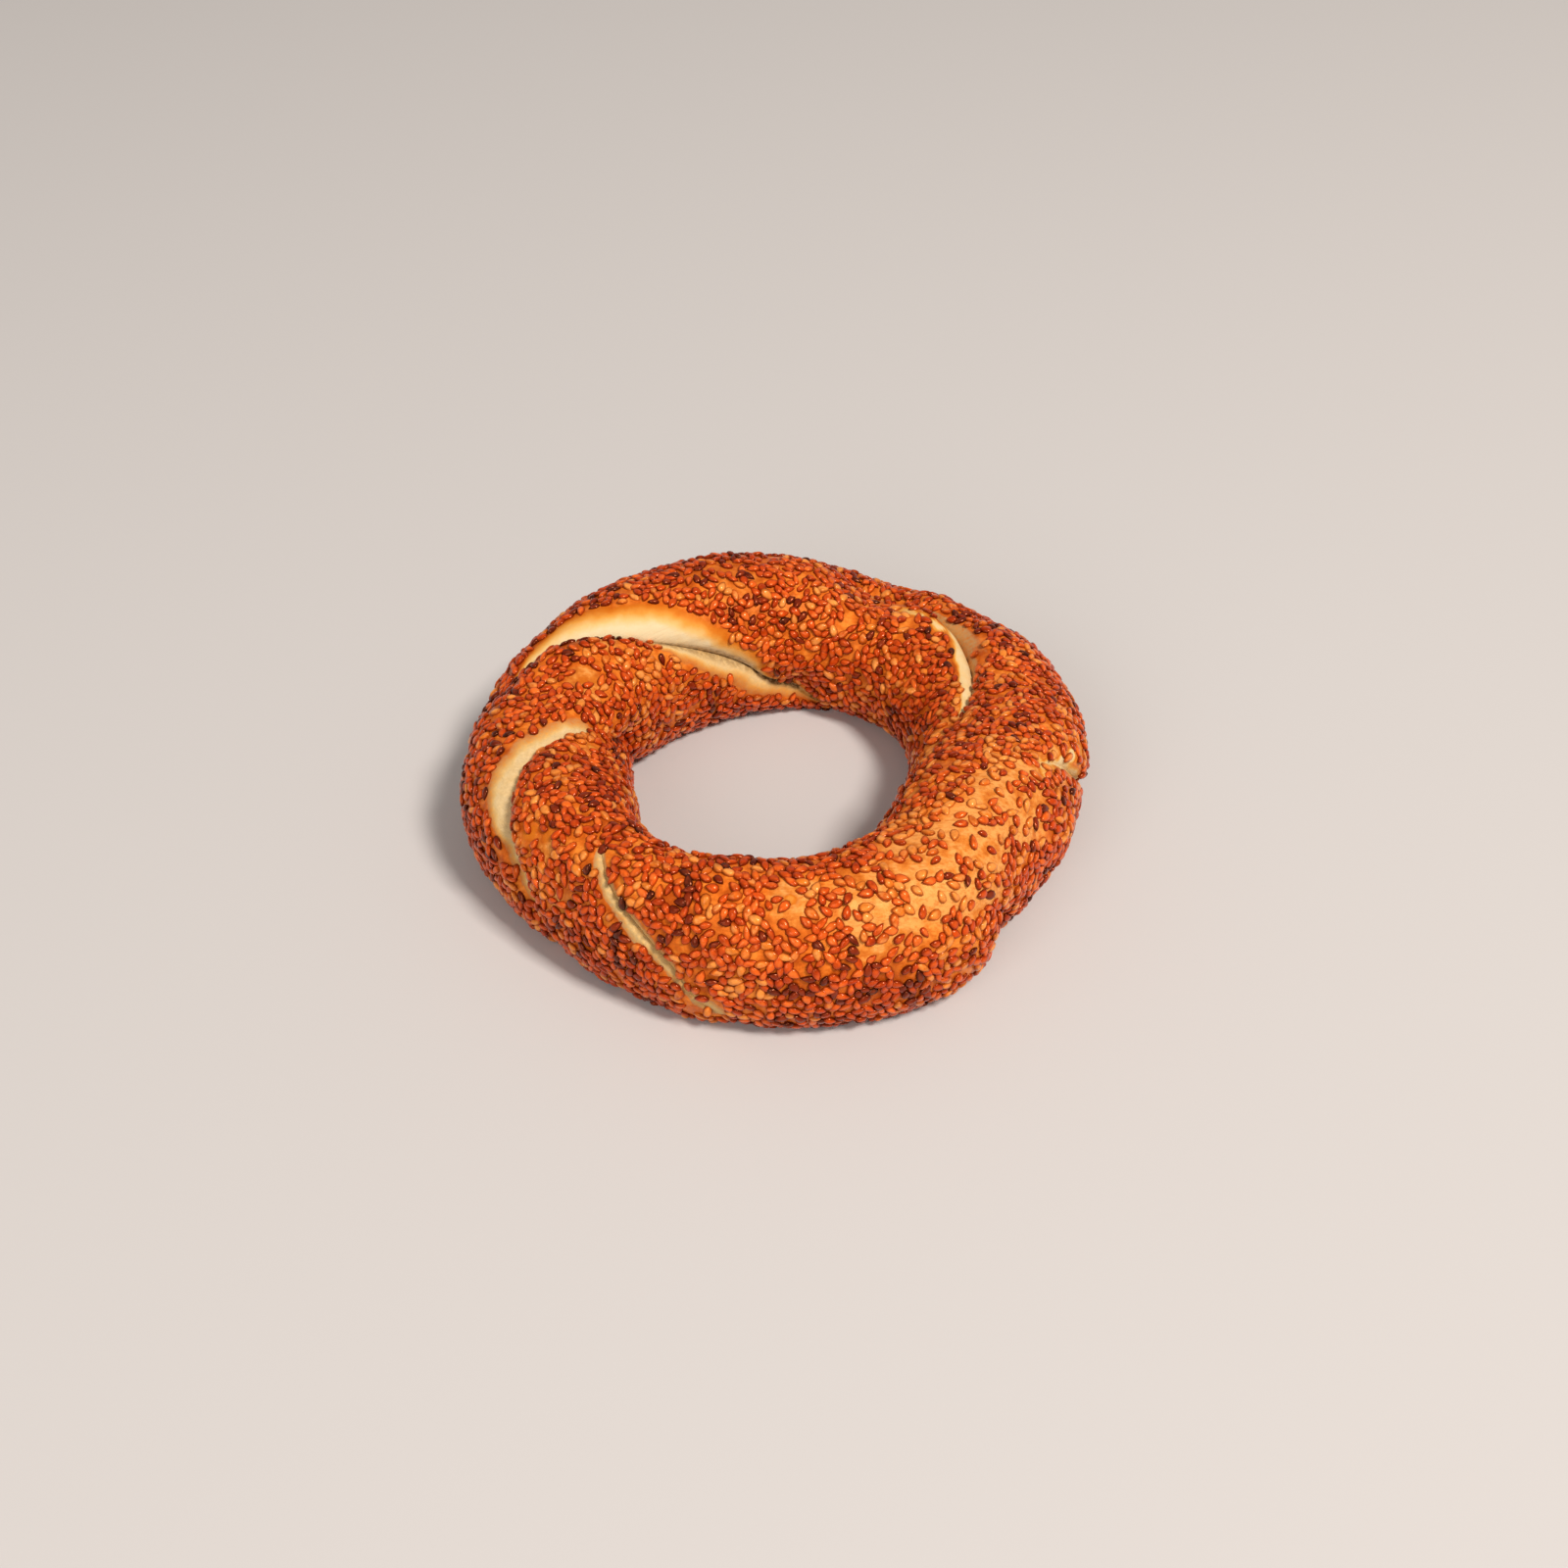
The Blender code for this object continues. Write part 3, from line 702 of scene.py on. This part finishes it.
def strand_surface(strand, share, turn):
    """One strand's points, mm, and its maps.

    The maps are browning, how dull the crumb is with painted shade, how much further a place has baked, the
    share of its seeds that are laid, how thinly they lie, how dark the painted shade in a crease is, and the
    place square to and along a seam.
    """
    first = seam_bearing(strand, turn)
    last = seam_bearing(strand + 1, turn)
    bearing = first + (last - first) * share
    turn = turn + np.zeros(bearing.shape)
    plain = plain_surface(bearing, turn)
    past_first = (bearing - first) * seam_spread(strand, turn)
    short_of_last = (bearing - last) * seam_spread(strand + 1, turn)
    relief = groove_relief(strand, turn, past_first) + groove_relief(strand + 1, turn, short_of_last)
    relief = relief + burst_relief(strand, turn, past_first) + burst_relief(strand + 1, turn, short_of_last)
    # How dark the painted shade in the creases is
    dark = np.maximum(crevice(strand, turn, past_first), crevice(strand + 1, turn, short_of_last))

    wander = sum(height * noise_at(plain, spacing, spacing) for height, spacing in EDGE_WANDER)
    brown_first, edge_first, dull_first = bared_by(strand, turn, past_first, wander)
    brown_last, edge_last, dull_last = bared_by(strand + 1, turn, short_of_last, wander)
    brown_seam = np.minimum(brown_first, brown_last)
    brown_spot, edge_spot = bare_spots(plain, wander)
    browning = np.minimum(brown_seam, brown_spot)
    edge = np.minimum(np.minimum(edge_first, edge_last), edge_spot)
    dull_and_shade = np.where(brown_first <= brown_last, dull_first, dull_last)
    dull_and_shade = np.where(brown_spot < brown_seam, 0.0, dull_and_shade)
    offset = np.where(brown_first <= brown_last, past_first, short_of_last)
    place = np.stack((offset, np.radians(turn) * SECTION_RADIUS, np.zeros(offset.shape)), axis=-1)

    torn = noise_at(place * TORN_SQUEEZE, TORN_WIDTH, TORN_START) * (1.0 - smooth(browning, 0.0, TORN_UNTIL))
    height = relief + swells(plain) + lumps(plain) + TORN_HEIGHT * torn
    points = plain + outward(bearing, turn) * height[..., None]
    points[..., 2] = np.maximum(points[..., 2], CRUST_CLEAR)
    points[..., :2] += RING_MIDDLE

    above = smooth(points[..., 2], *UNDER_ENDS)
    missing, patch = SEED_PATCHES
    seeded = SEED_FILL * (1.0 - missing * smooth(noise_at(plain, patch, patch), *PATCH_GROWS))
    seeded = seeded * smooth(edge, *SEEDED_PAST) * (SEEDED_UNDER + (1.0 - SEEDED_UNDER) * above)
    return points, {
        "browning": browning,
        "dull_and_shade": dull_and_shade,
        "toast": toastedness(plain) + TOASTED_UNDER * (1.0 - above),
        "seeded": seeded,
        "thin": thinness(plain),
        "dark": dark,
        "place": place,
    }


def crust_turns():
    """Turns of the rows: from the flat's outer edge over the top to its inner edge, then across the flat."""
    edge = math.degrees(math.asin((1.0 / (1.0 + OVERREACH)) ** (LOWER_SQUARENESS / 2.0)))
    over = np.linspace(-edge, 180.0 + edge, ROWS_OVER)
    flat = np.linspace(180.0 + edge, 360.0 - edge, ROWS_FLAT + 1)[1:-1]
    return np.concatenate((over, flat))


def crowded(count):
    """Shares from 0 up to 1, closer together near both ends."""
    even = np.arange(count) / count
    return even - CROWDING * np.sin(2.0 * math.pi * even) / (2.0 * math.pi)


def add_map(data, name, values):
    """Stores one number or one vector for each vertex."""
    kind, key = ("FLOAT", "value") if values.ndim == 1 else ("FLOAT_VECTOR", "vector")
    attribute = data.attributes.new(name, kind, "POINT")
    attribute.data.foreach_set(key, values.astype(np.float32).ravel())


def crust_mesh():
    """The crust as one closed mesh whose columns follow the seams, with its maps."""
    turns = crust_turns()
    shares = crowded(COLUMNS)
    strands = [strand_surface(strand, shares[:, None], turns[None, :]) for strand in range(len(SEAMS))]
    points = np.concatenate([points for points, _ in strands]) * MM
    columns = len(SEAMS) * COLUMNS
    rows = len(turns)
    column, row = np.meshgrid(np.arange(columns), np.arange(rows), indexing="ij")
    beside = (column + 1) % columns
    above = (row + 1) % rows
    shift = np.where(row == rows - 1, LANDS_BACK * COLUMNS, 0)
    corners = (
        column * rows + row,
        beside * rows + row,
        (beside - shift) % columns * rows + above,
        (column - shift) % columns * rows + above,
    )
    faces = np.stack(corners, axis=-1).reshape(-1, 4)
    data = bpy.data.meshes.new("crust")
    data.from_pydata(points.reshape(-1, 3).tolist(), [], faces.tolist())
    for name in strands[0][1]:
        values = np.concatenate([maps[name] for _, maps in strands])
        add_map(data, name, values.reshape(points.shape[0] * rows, *values.shape[2:]))
    data.shade_smooth()
    return data


def new_object(name, data):
    """An object linked to the scene."""
    thing = bpy.data.objects.new(name, data)
    bpy.context.scene.collection.objects.link(thing)
    return thing


def seed_mesh(name, stretch, pointed):
    """One sesame seed lying flat with its point towards +X: a plump dome on a drop-shaped outline."""
    length, width, thickness = (size * MM / 2.0 for size in SEED_SIZE)
    angles = np.arange(SEED_SIDES) * 2.0 * math.pi / SEED_SIDES
    rim_x = np.cos(angles) * length * stretch[0]
    rim_y = np.sin(angles) * np.sin(angles / 2.0) ** pointed
    rim_y = rim_y / rim_y.max() * width * stretch[1]
    points = [(0.0, 0.0, SEED_BELLY * thickness)]
    rims = [1.0]
    for share, level, rim in SEED_PROFILE:
        for x, y in zip(rim_x, rim_y):
            points.append((x * share, y * share, level * thickness))
            rims.append(rim)
    points.append((0.0, 0.0, thickness))
    rims.append(0.0)
    top = len(points) - 1
    faces = []
    for side in range(SEED_SIDES):
        beside = (side + 1) % SEED_SIDES
        faces.append((0, 1 + beside, 1 + side))
        for ring in range(len(SEED_PROFILE) - 1):
            low = 1 + ring * SEED_SIDES
            high = low + SEED_SIDES
            faces.append((low + side, low + beside, high + beside, high + side))
        last = 1 + (len(SEED_PROFILE) - 1) * SEED_SIDES
        faces.append((last + side, last + beside, top))
    data = bpy.data.meshes.new(name)
    data.from_pydata(points, [], faces)
    add_map(data, "rim", np.array(rims))
    data.shade_smooth()
    return data


def colour(code):
    """The linear colour of an sRGB hex code."""
    parts = [int(code[place : place + 2], 16) / 255.0 for place in (1, 3, 5)]
    linear = [part / 12.92 if part <= 0.04045 else ((part + 0.055) / 1.055) ** 2.4 for part in parts]
    return (*linear, 1.0)


def set_inputs(tree, node, inputs):
    """Gives a node's sockets values, in order or by name, and links values that are sockets or nodes.

    Only sockets that the node's settings leave in use count, and a node stands for its first such output.
    """
    sockets = [socket for socket in node.inputs if socket.enabled]
    if isinstance(inputs, dict):
        names = [socket.name for socket in sockets]
        sockets = [sockets[names.index(name)] for name in inputs]
        inputs = inputs.values()
    for socket, value in zip(sockets, inputs):
        if isinstance(value, bpy.types.Node):
            value = next(output for output in value.outputs if output.enabled)
        if isinstance(value, bpy.types.NodeSocket):
            tree.links.new(value, socket)
        else:
            socket.default_value = value


def add_node(tree, kind, inputs=(), stops=(), **settings):
    """Adds a node with its settings and inputs and, if it is a ramp, the places and colours of its stops."""
    node = tree.nodes.new(kind)
    for name, value in settings.items():
        setattr(node, name, value)
    set_inputs(tree, node, inputs)
    if stops:
        steps = node.color_ramp.elements
        while len(steps) < len(stops):
            steps.new(1.0)
        for step, (place, code) in zip(steps, stops):
            step.position = place
            step.color = colour(code)
    return node


def scatter_tree():
    """The tree that scatters one kind of seed over a mesh, by its maps of how thickly sesame lies.

    Every kind uses the same points and keeps its own share of them, so seeds of different kinds keep apart.
    """
    tree = bpy.data.node_groups.new("sesame scatter", "GeometryNodeTree")
    sockets = (
        ("Crust", "NodeSocketGeometry"),
        ("Shape", "NodeSocketObject"),
        ("Finish", "NodeSocketMaterial"),
        ("From", "NodeSocketFloat"),
        ("To", "NodeSocketFloat"),
        ("Spacing", "NodeSocketFloat"),
        ("Apart", "NodeSocketFloat"),
        ("Crowd", "NodeSocketFloat"),
        ("Raised", "NodeSocketFloat"),
        ("Stack", "NodeSocketFloat"),
        ("Tilt", "NodeSocketFloat"),
        ("Burnt", "NodeSocketFloat"),
        ("Start", "NodeSocketInt"),
    )
    for name, kind in sockets:
        tree.interface.new_socket(name, in_out="INPUT", socket_type=kind)
    tree.interface.new_socket("Sesame", in_out="OUTPUT", socket_type="NodeSocketGeometry")
    given = add_node(tree, "NodeGroupInput").outputs

    drawn = {}
    for name, (low, high, start) in DRAWS.items():
        kind = "FLOAT" if isinstance(low, float) else "FLOAT_VECTOR"
        seed = add_node(tree, "ShaderNodeMath", (given["Start"], start), operation="ADD")
        limits = {"Min": low, "Max": high, "Seed": seed}
        drawn[name] = add_node(tree, "FunctionNodeRandomValue", limits, data_type=kind)
    seeded, thin, toast = (
        add_node(tree, "GeometryNodeInputNamedAttribute", {"Name": name}, data_type="FLOAT")
        for name in ("seeded", "thin", "toast")
    )

    spread = add_node(
        tree,
        "GeometryNodeDistributePointsOnFaces",
        {
            "Mesh": given["Crust"],
            "Distance Min": given["Spacing"],
            "Density Max": given["Crowd"],
            "Density Factor": seeded,
            "Seed": given["Start"],
        },
        distribute_method="POISSON",
    )
    normal = spread.outputs["Normal"]
    position = add_node(tree, "GeometryNodeInputPosition")
    nearest = add_node(tree, "GeometryNodeIndexOfNearest")
    beside = add_node(
        tree,
        "GeometryNodeFieldAtIndex",
        {"Index": nearest, "Value": position},
        data_type="FLOAT_VECTOR",
        domain="POINT",
    )
    way = add_node(tree, "ShaderNodeVectorMath", (beside, position), operation="SUBTRACT")

    # Where the sesame lies thinly, seeds that have a near neighbour are left out, so the rest lie evenly
    index = add_node(tree, "GeometryNodeInputIndex")
    later = add_node(
        tree, "FunctionNodeCompare", (index, nearest), data_type="INT", operation="GREATER_THAN"
    )
    apart = (thin, given["Apart"], given["Spacing"])
    gap = add_node(tree, "ShaderNodeMath", apart, operation="MULTIPLY_ADD")
    away = add_node(tree, "ShaderNodeVectorMath", (way,), operation="LENGTH")
    close = add_node(tree, "FunctionNodeCompare", (away, gap), operation="LESS_THAN")
    extra = add_node(tree, "FunctionNodeBooleanMath", (later, close), operation="AND")
    points = spread
    for _ in range(THINNING_ROUNDS):
        points = add_node(tree, "GeometryNodeDeleteGeometry", {"Geometry": points, "Selection": extra})

    # A seed lies square to the way to its nearest neighbour, give or take, so the two overlap little
    straight = add_node(tree, "ShaderNodeVectorMath", (way,), operation="NORMALIZE")
    square = add_node(tree, "ShaderNodeVectorMath", (normal, straight), operation="CROSS_PRODUCT")
    swerved = add_node(tree, "ShaderNodeVectorMath", (square, drawn["heading"]), operation="ADD")
    kept = add_node(
        tree,
        "GeometryNodeStoreNamedAttribute",
        {"Geometry": points, "Name": "heading", "Value": swerved},
        data_type="FLOAT_VECTOR",
        domain="POINT",
    )

    # Where the ring has baked more, more of the seeds are of the darker kinds, and a few are burnt anywhere
    bake = add_node(tree, "ShaderNodeMath", (drawn["kind"], toast), operation="ADD")
    burnt = add_node(tree, "FunctionNodeCompare", (drawn["burnt"], given["Burnt"]), operation="LESS_THAN")
    bake = add_node(tree, "ShaderNodeMath", (burnt, 1.0, bake), operation="MULTIPLY_ADD")
    early = add_node(tree, "FunctionNodeCompare", (bake, given["From"]), operation="LESS_THAN")
    late = add_node(tree, "FunctionNodeCompare", (bake, given["To"]), operation="GREATER_EQUAL")
    other = add_node(tree, "FunctionNodeBooleanMath", (early, late), operation="OR")
    chosen = add_node(tree, "GeometryNodeDeleteGeometry", {"Geometry": kept, "Selection": other})

    # Each seed is raised a little, some to lie on others, and tilted a little
    lift = add_node(tree, "ShaderNodeMath", (drawn["lift"], given["Stack"]), operation="MULTIPLY")
    height = add_node(tree, "ShaderNodeMath", (lift, given["Raised"]), operation="ADD")
    rise = add_node(tree, "ShaderNodeVectorMath", (normal, height), operation="SCALE")
    raised = add_node(tree, "GeometryNodeSetPosition", {"Geometry": chosen, "Offset": rise})
    heading = add_node(
        tree, "GeometryNodeInputNamedAttribute", {"Name": "heading"}, data_type="FLOAT_VECTOR"
    )
    facing = add_node(
        tree,
        "FunctionNodeAxesToRotation",
        {"Primary Axis": normal, "Secondary Axis": heading},
        primary_axis="Z",
        secondary_axis="X",
    )
    lean = add_node(tree, "ShaderNodeVectorMath", (drawn["lean"], given["Tilt"]), operation="SCALE")
    tilt = add_node(tree, "FunctionNodeEulerToRotation", (lean,))
    turned = add_node(tree, "FunctionNodeRotateRotation", (facing, tilt), rotation_space="LOCAL")
    shape = add_node(tree, "GeometryNodeObjectInfo", {"Object": given["Shape"]})
    laid = add_node(
        tree,
        "GeometryNodeInstanceOnPoints",
        {
            "Points": raised,
            "Instance": shape.outputs["Geometry"],
            "Rotation": turned,
            "Scale": drawn["scale"],
        },
    )
    tinted = add_node(
        tree,
        "GeometryNodeStoreNamedAttribute",
        {"Geometry": laid, "Name": "tint", "Value": drawn["tint"]},
        data_type="FLOAT",
        domain="INSTANCE",
    )
    real = add_node(tree, "GeometryNodeRealizeInstances", {"Geometry": tinted})
    finished = add_node(tree, "GeometryNodeSetMaterial", {"Geometry": real, "Material": given["Finish"]})
    add_node(tree, "NodeGroupOutput", {"Sesame": finished})
    return tree


def scatter(name, tree, crust, settings):
    """Runs the tree over the crust, and leaves one plain mesh of seeds that the floor flattens."""
    piece = new_object(name, crust.copy())
    modifier = piece.modifiers.new("scatter", "NODES")
    modifier.node_group = tree
    for item in tree.interface.items_tree:
        if item.name in settings:
            modifier[item.identifier] = settings[item.name]
    evaluated = piece.evaluated_get(bpy.context.evaluated_depsgraph_get())
    data = bpy.data.meshes.new_from_object(evaluated)
    piece.modifiers.remove(modifier)
    piece.data = data
    data.name = name
    places = np.zeros(len(data.vertices) * 3, np.float32)
    data.vertices.foreach_get("co", places)
    places[2::3] = np.maximum(places[2::3], 0.0)
    data.vertices.foreach_set("co", places)
    data.update()
    return piece


def new_material(name):
    """A material with its tree, its Principled shader and object coordinates."""
    material = bpy.data.materials.new(name)
    material.use_nodes = True
    tree = material.node_tree
    place = add_node(tree, "ShaderNodeTexCoord").outputs["Object"]
    return material, tree, tree.nodes["Principled BSDF"], place


def grain(place, spacing, detail, roughness):
    """Inputs of a noise texture with one blob to each spacing in millimetres, where places are in metres."""
    return {"Vector": place, "Scale": 1.0 / (spacing * MM), "Detail": detail, "Roughness": roughness}


def crust_material():
    """Baked dough: glazed golden orange skin with browner patches, and cream crumb where a seam burst open.

    The skin has a soft sheen and fine wrinkles, and the crumb is matt, soft and stringy. Shade is painted
    into the creases, and partly into the dull crumb and the skin between thick sesame.
    """
    material, tree, shader, place = new_material("baked crust")
    browning, thin, toast, dull_and_shade, dark = (
        add_node(tree, "ShaderNodeAttribute", attribute_name=name).outputs["Fac"]
        for name in ("browning", "thin", "toast", "dull_and_shade", "dark")
    )

    # Patches of deeper and lighter bake, from a few millimetres across to the whole side of the ring
    fine = add_node(tree, "ShaderNodeTexNoise", grain(place, *BAKE_GRAIN))
    deeper = add_node(tree, "ShaderNodeMath", (toast, TOAST_SHOWS), operation="MULTIPLY")
    bake = add_node(tree, "ShaderNodeMath", (fine, deeper), operation="ADD")
    deep = add_node(tree, "ShaderNodeValToRGB", (bake,), DEEP_SKIN)
    # Where the sesame lies thinly, the skin shows a lighter yellow orange; where it lies thick, the deeper
    # skin partly paints the shade between the seeds
    pale = add_node(tree, "ShaderNodeValToRGB", (bake,), PALE_SKIN)
    lighter = add_node(tree, "ShaderNodeMapRange", (thin, *PALE_SPAN))
    skin = add_node(tree, "ShaderNodeMix", (lighter, deep, pale), data_type="RGBA")
    # The dough was drawn out as it was rolled, which left fine darker streaks
    drawn_out = add_node(tree, "ShaderNodeMapping", {"Vector": place, "Scale": STREAK_STRETCH})
    lines = add_node(tree, "ShaderNodeTexNoise", grain(drawn_out, *STREAK_GRAIN))
    streaks = add_node(tree, "ShaderNodeMapRange", (lines, *STREAK_SPAN))
    skin = add_node(tree, "ShaderNodeMix", (streaks, skin, colour(SKIN_STREAK)), data_type="RGBA")

    # The crumb browns towards its edge, which is wispy
    uneven = add_node(tree, "ShaderNodeMath", (fine, NOISE_MIDDLE), operation="SUBTRACT")
    wisps = add_node(tree, "ShaderNodeMath", (uneven, WISPS_SHOW), operation="MULTIPLY")
    edge = add_node(tree, "ShaderNodeMath", (browning, wisps), operation="ADD")
    baked = add_node(tree, "ShaderNodeValToRGB", (edge,), CRUMB)
    # A crack's crumb is duller than a wide burst's and speckled, partly as painted shade in cracks and
    # recesses
    dots = add_node(tree, "ShaderNodeTexNoise", grain(place, *SPECKLE_GRAIN))
    speckle = add_node(tree, "ShaderNodeMapRange", (dots, *SPECKLE_SPAN))
    shade = add_node(tree, "ShaderNodeMath", (dull_and_shade, speckle), operation="MULTIPLY")
    torn = add_node(tree, "ShaderNodeMix", (shade, baked, colour(DULL_SHADED_CRUMB)), data_type="RGBA")
    closed = add_node(tree, "ShaderNodeMapRange", (browning, *SKIN_SPAN))
    whole = add_node(tree, "ShaderNodeMix", (closed, torn, skin), data_type="RGBA")
    # Painted shade in the creases, dark where one cannot see into a gap, with a broken edge
    breaks = add_node(tree, "ShaderNodeTexNoise", grain(place, *CREVICE_GRAIN))
    broken = add_node(tree, "ShaderNodeMapRange", (breaks, *CREVICE_SPAN))
    unlit = add_node(tree, "ShaderNodeMath", (dark, broken), operation="MULTIPLY")
    base = add_node(tree, "ShaderNodeMix", (unlit, whole, colour(CREVICE_SHADE)), data_type="RGBA")

    # Wrinkles in the skin, and strands across the crumb, whose places are in millimetres
    wrinkle = add_node(tree, "ShaderNodeTexNoise", grain(place, *WRINKLE_GRAIN))
    crease = add_node(tree, "ShaderNodeAttribute", attribute_name="place").outputs["Vector"]
    pulled = add_node(tree, "ShaderNodeMapping", {"Vector": crease, "Scale": STRAND_STRETCH})
    spacing, detail, roughness = STRAND_GRAIN
    strands = add_node(
        tree,
        "ShaderNodeTexNoise",
        {"Vector": pulled, "Scale": 1.0 / spacing, "Detail": detail, "Roughness": roughness},
    )
    crumbness = add_node(tree, "ShaderNodeMapRange", (browning, *CRUMB_SPAN))
    relief = add_node(tree, "ShaderNodeMix", (crumbness, wrinkle, strands), data_type="FLOAT")
    bump = {"Height": relief, "Strength": 0.5, "Distance": CRUST_RELIEF * MM}
    inputs = {
        "Base Color": base,
        "Roughness": add_node(tree, "ShaderNodeMapRange", (browning, *GLOSS_SPAN)),
        "Specular IOR Level": 0.3,
        "Specular Tint": colour(CRUST_SHINE),
        "Normal": add_node(tree, "ShaderNodeBump", bump),
    }
    set_inputs(tree, shader, inputs)
    return material


def sesame_material(name):
    """Toasted sesame: a thin glossy hull, darker round its rim, partly as painted contact shadow,
    and with a painted highlight in patches on its crown.

    Each seed has its own tint, and its hull is mottled.
    """
    stops, crown_highlight_colour, rim_and_shadow_colour, roughness = SEED_FINISHES[name]
    material, tree, shader, place = new_material(name)
    tint, around = (
        add_node(tree, "ShaderNodeAttribute", attribute_name=map_name).outputs["Fac"]
        for map_name in ("tint", "rim")
    )
    tinted = add_node(tree, "ShaderNodeValToRGB", (tint,), stops)
    blotches = add_node(tree, "ShaderNodeTexNoise", grain(place, *MOTTLE_GRAIN))
    mottle = add_node(tree, "ShaderNodeMapRange", (blotches, *MOTTLE_SPAN))
    grey = add_node(tree, "ShaderNodeCombineColor", (mottle, mottle, mottle))
    hull = add_node(tree, "ShaderNodeMix", (1.0, tinted, grey), data_type="RGBA", blend_type="MULTIPLY")
    # A painted highlight: the crown is lighter in patches, as where a glossy seed catches the light
    highlight_noise = add_node(tree, "ShaderNodeTexNoise", grain(place, *HIGHLIGHT_GRAIN))
    highlight_patches = add_node(tree, "ShaderNodeMapRange", (highlight_noise, *HIGHLIGHT_SPAN))
    top = add_node(tree, "ShaderNodeMapRange", (around, *CROWN_SPAN))
    crown = add_node(tree, "ShaderNodeMath", (top, highlight_patches), operation="MULTIPLY")
    hull = add_node(tree, "ShaderNodeMix", (crown, hull, colour(crown_highlight_colour)), data_type="RGBA")
    # Darker round the rim: partly the glaze caramelised at the seed's edge, partly painted contact shadow
    # where it meets the crust
    rim = add_node(tree, "ShaderNodeMapRange", (around, *RIM_SPAN))
    inputs = {
        "Base Color": add_node(tree, "ShaderNodeMix", (rim, hull, colour(rim_and_shadow_colour)), data_type="RGBA"),
        "Roughness": roughness,
        "Specular IOR Level": 0.65,
        "Specular Tint": colour(SEED_SHINE),
        "Coat Weight": 0.15,
        "Coat Roughness": 0.12,
    }
    set_inputs(tree, shader, inputs)
    return material


def floor_material():
    """Matt pale card, warm and even, that sets off the bread."""
    material, tree, shader, _ = new_material("pale card")
    set_inputs(tree, shader, {"Base Color": colour(FLOOR_COLOUR), "Roughness": 0.9})
    return material


def make_floor():
    """A wide plain floor."""
    data = bpy.data.meshes.new("floor")
    corners = [(x * FLOOR_REACH, y * FLOOR_REACH, 0.0) for x, y in ((-1, -1), (1, -1), (1, 1), (-1, 1))]
    data.from_pydata(corners, [], [(0, 1, 2, 3)])
    data.materials.append(floor_material())
    return new_object("floor", data)


def light_scene():
    """A large soft key from above and the front right, a weak fill from the front left, and pale air."""
    for name, (place, width, power, code) in LIGHTS.items():
        data = bpy.data.lights.new(name, "AREA")
        data.shape = "SQUARE"
        data.size = width
        data.energy = power
        data.color = colour(code)[:3]
        light = new_object(name, data)
        light.location = place
        light.rotation_euler = (Vector(LIT_POINT) - Vector(place)).to_track_quat("-Z", "Y").to_euler()
    world = bpy.data.worlds.new("studio air")
    world.use_nodes = True
    air = {"Color": colour(AIR_COLOUR), "Strength": AIR_STRENGTH}
    set_inputs(world.node_tree, world.node_tree.nodes["Background"], air)
    bpy.context.scene.world = world
    bpy.context.scene.view_settings.view_transform = "Standard"


def add_camera():
    """The camera at the photograph's angle, with the ring's middle where it falls in the frame."""
    data = bpy.data.cameras.new("camera")
    data.sensor_width = SENSOR
    data.lens = FOCAL_PX / FRAME_PX * SENSOR
    data.clip_start = VIEW_NEAREST
    camera = new_object("camera", data)
    angle = math.radians(VIEW_ELEVATION)
    ahead = Vector((0.0, math.cos(angle), -math.sin(angle)))
    down = Vector((0.0, -math.sin(angle), -math.cos(angle)))
    right = Vector((1.0, 0.0, 0.0))
    across, below = ((px - FRAME_PX / 2.0) / FOCAL_PX for px in MIDDLE_PX)
    middle = Vector((*RING_MIDDLE, 0.0)) * MM
    camera.location = middle - (ahead + right * across + down * below) * VIEW_DISTANCE
    camera.rotation_euler = (math.pi / 2.0 - angle, 0.0, 0.0)
    bpy.context.scene.camera = camera


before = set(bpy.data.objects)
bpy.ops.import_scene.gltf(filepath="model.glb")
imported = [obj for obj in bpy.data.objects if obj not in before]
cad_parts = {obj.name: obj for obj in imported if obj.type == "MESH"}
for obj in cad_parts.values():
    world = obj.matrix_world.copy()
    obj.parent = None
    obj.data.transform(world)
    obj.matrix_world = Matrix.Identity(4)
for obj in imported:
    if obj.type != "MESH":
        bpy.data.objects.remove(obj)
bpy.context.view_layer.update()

crust = new_object("crust", crust_mesh())
crust.data.materials.append(crust_material())
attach(crust, "root")
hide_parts("simit")

tree = scatter_tree()
for name, starts, ends, stretch, pointed, finish in SEED_KINDS:
    shape = new_object(name + "_shape", seed_mesh(name + "_shape", stretch, pointed))
    settings = {
        "Shape": shape,
        "Finish": sesame_material(finish),
        "From": starts,
        "To": ends,
        "Spacing": SEED_SPACING * MM,
        "Apart": SEED_APART * MM,
        "Crowd": SEED_CROWD,
        "Raised": SEED_RAISED * MM,
        "Stack": SEED_STACK * MM,
        "Tilt": math.radians(SEED_TILT),
        "Burnt": BURNT_SHARE,
        "Start": SCATTER_START,
    }
    seeds = scatter(name, tree, crust.data, settings)
    bpy.data.objects.remove(shape, do_unlink=True)
    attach(seeds, "root")

floor = make_floor()
light_scene()
add_camera()
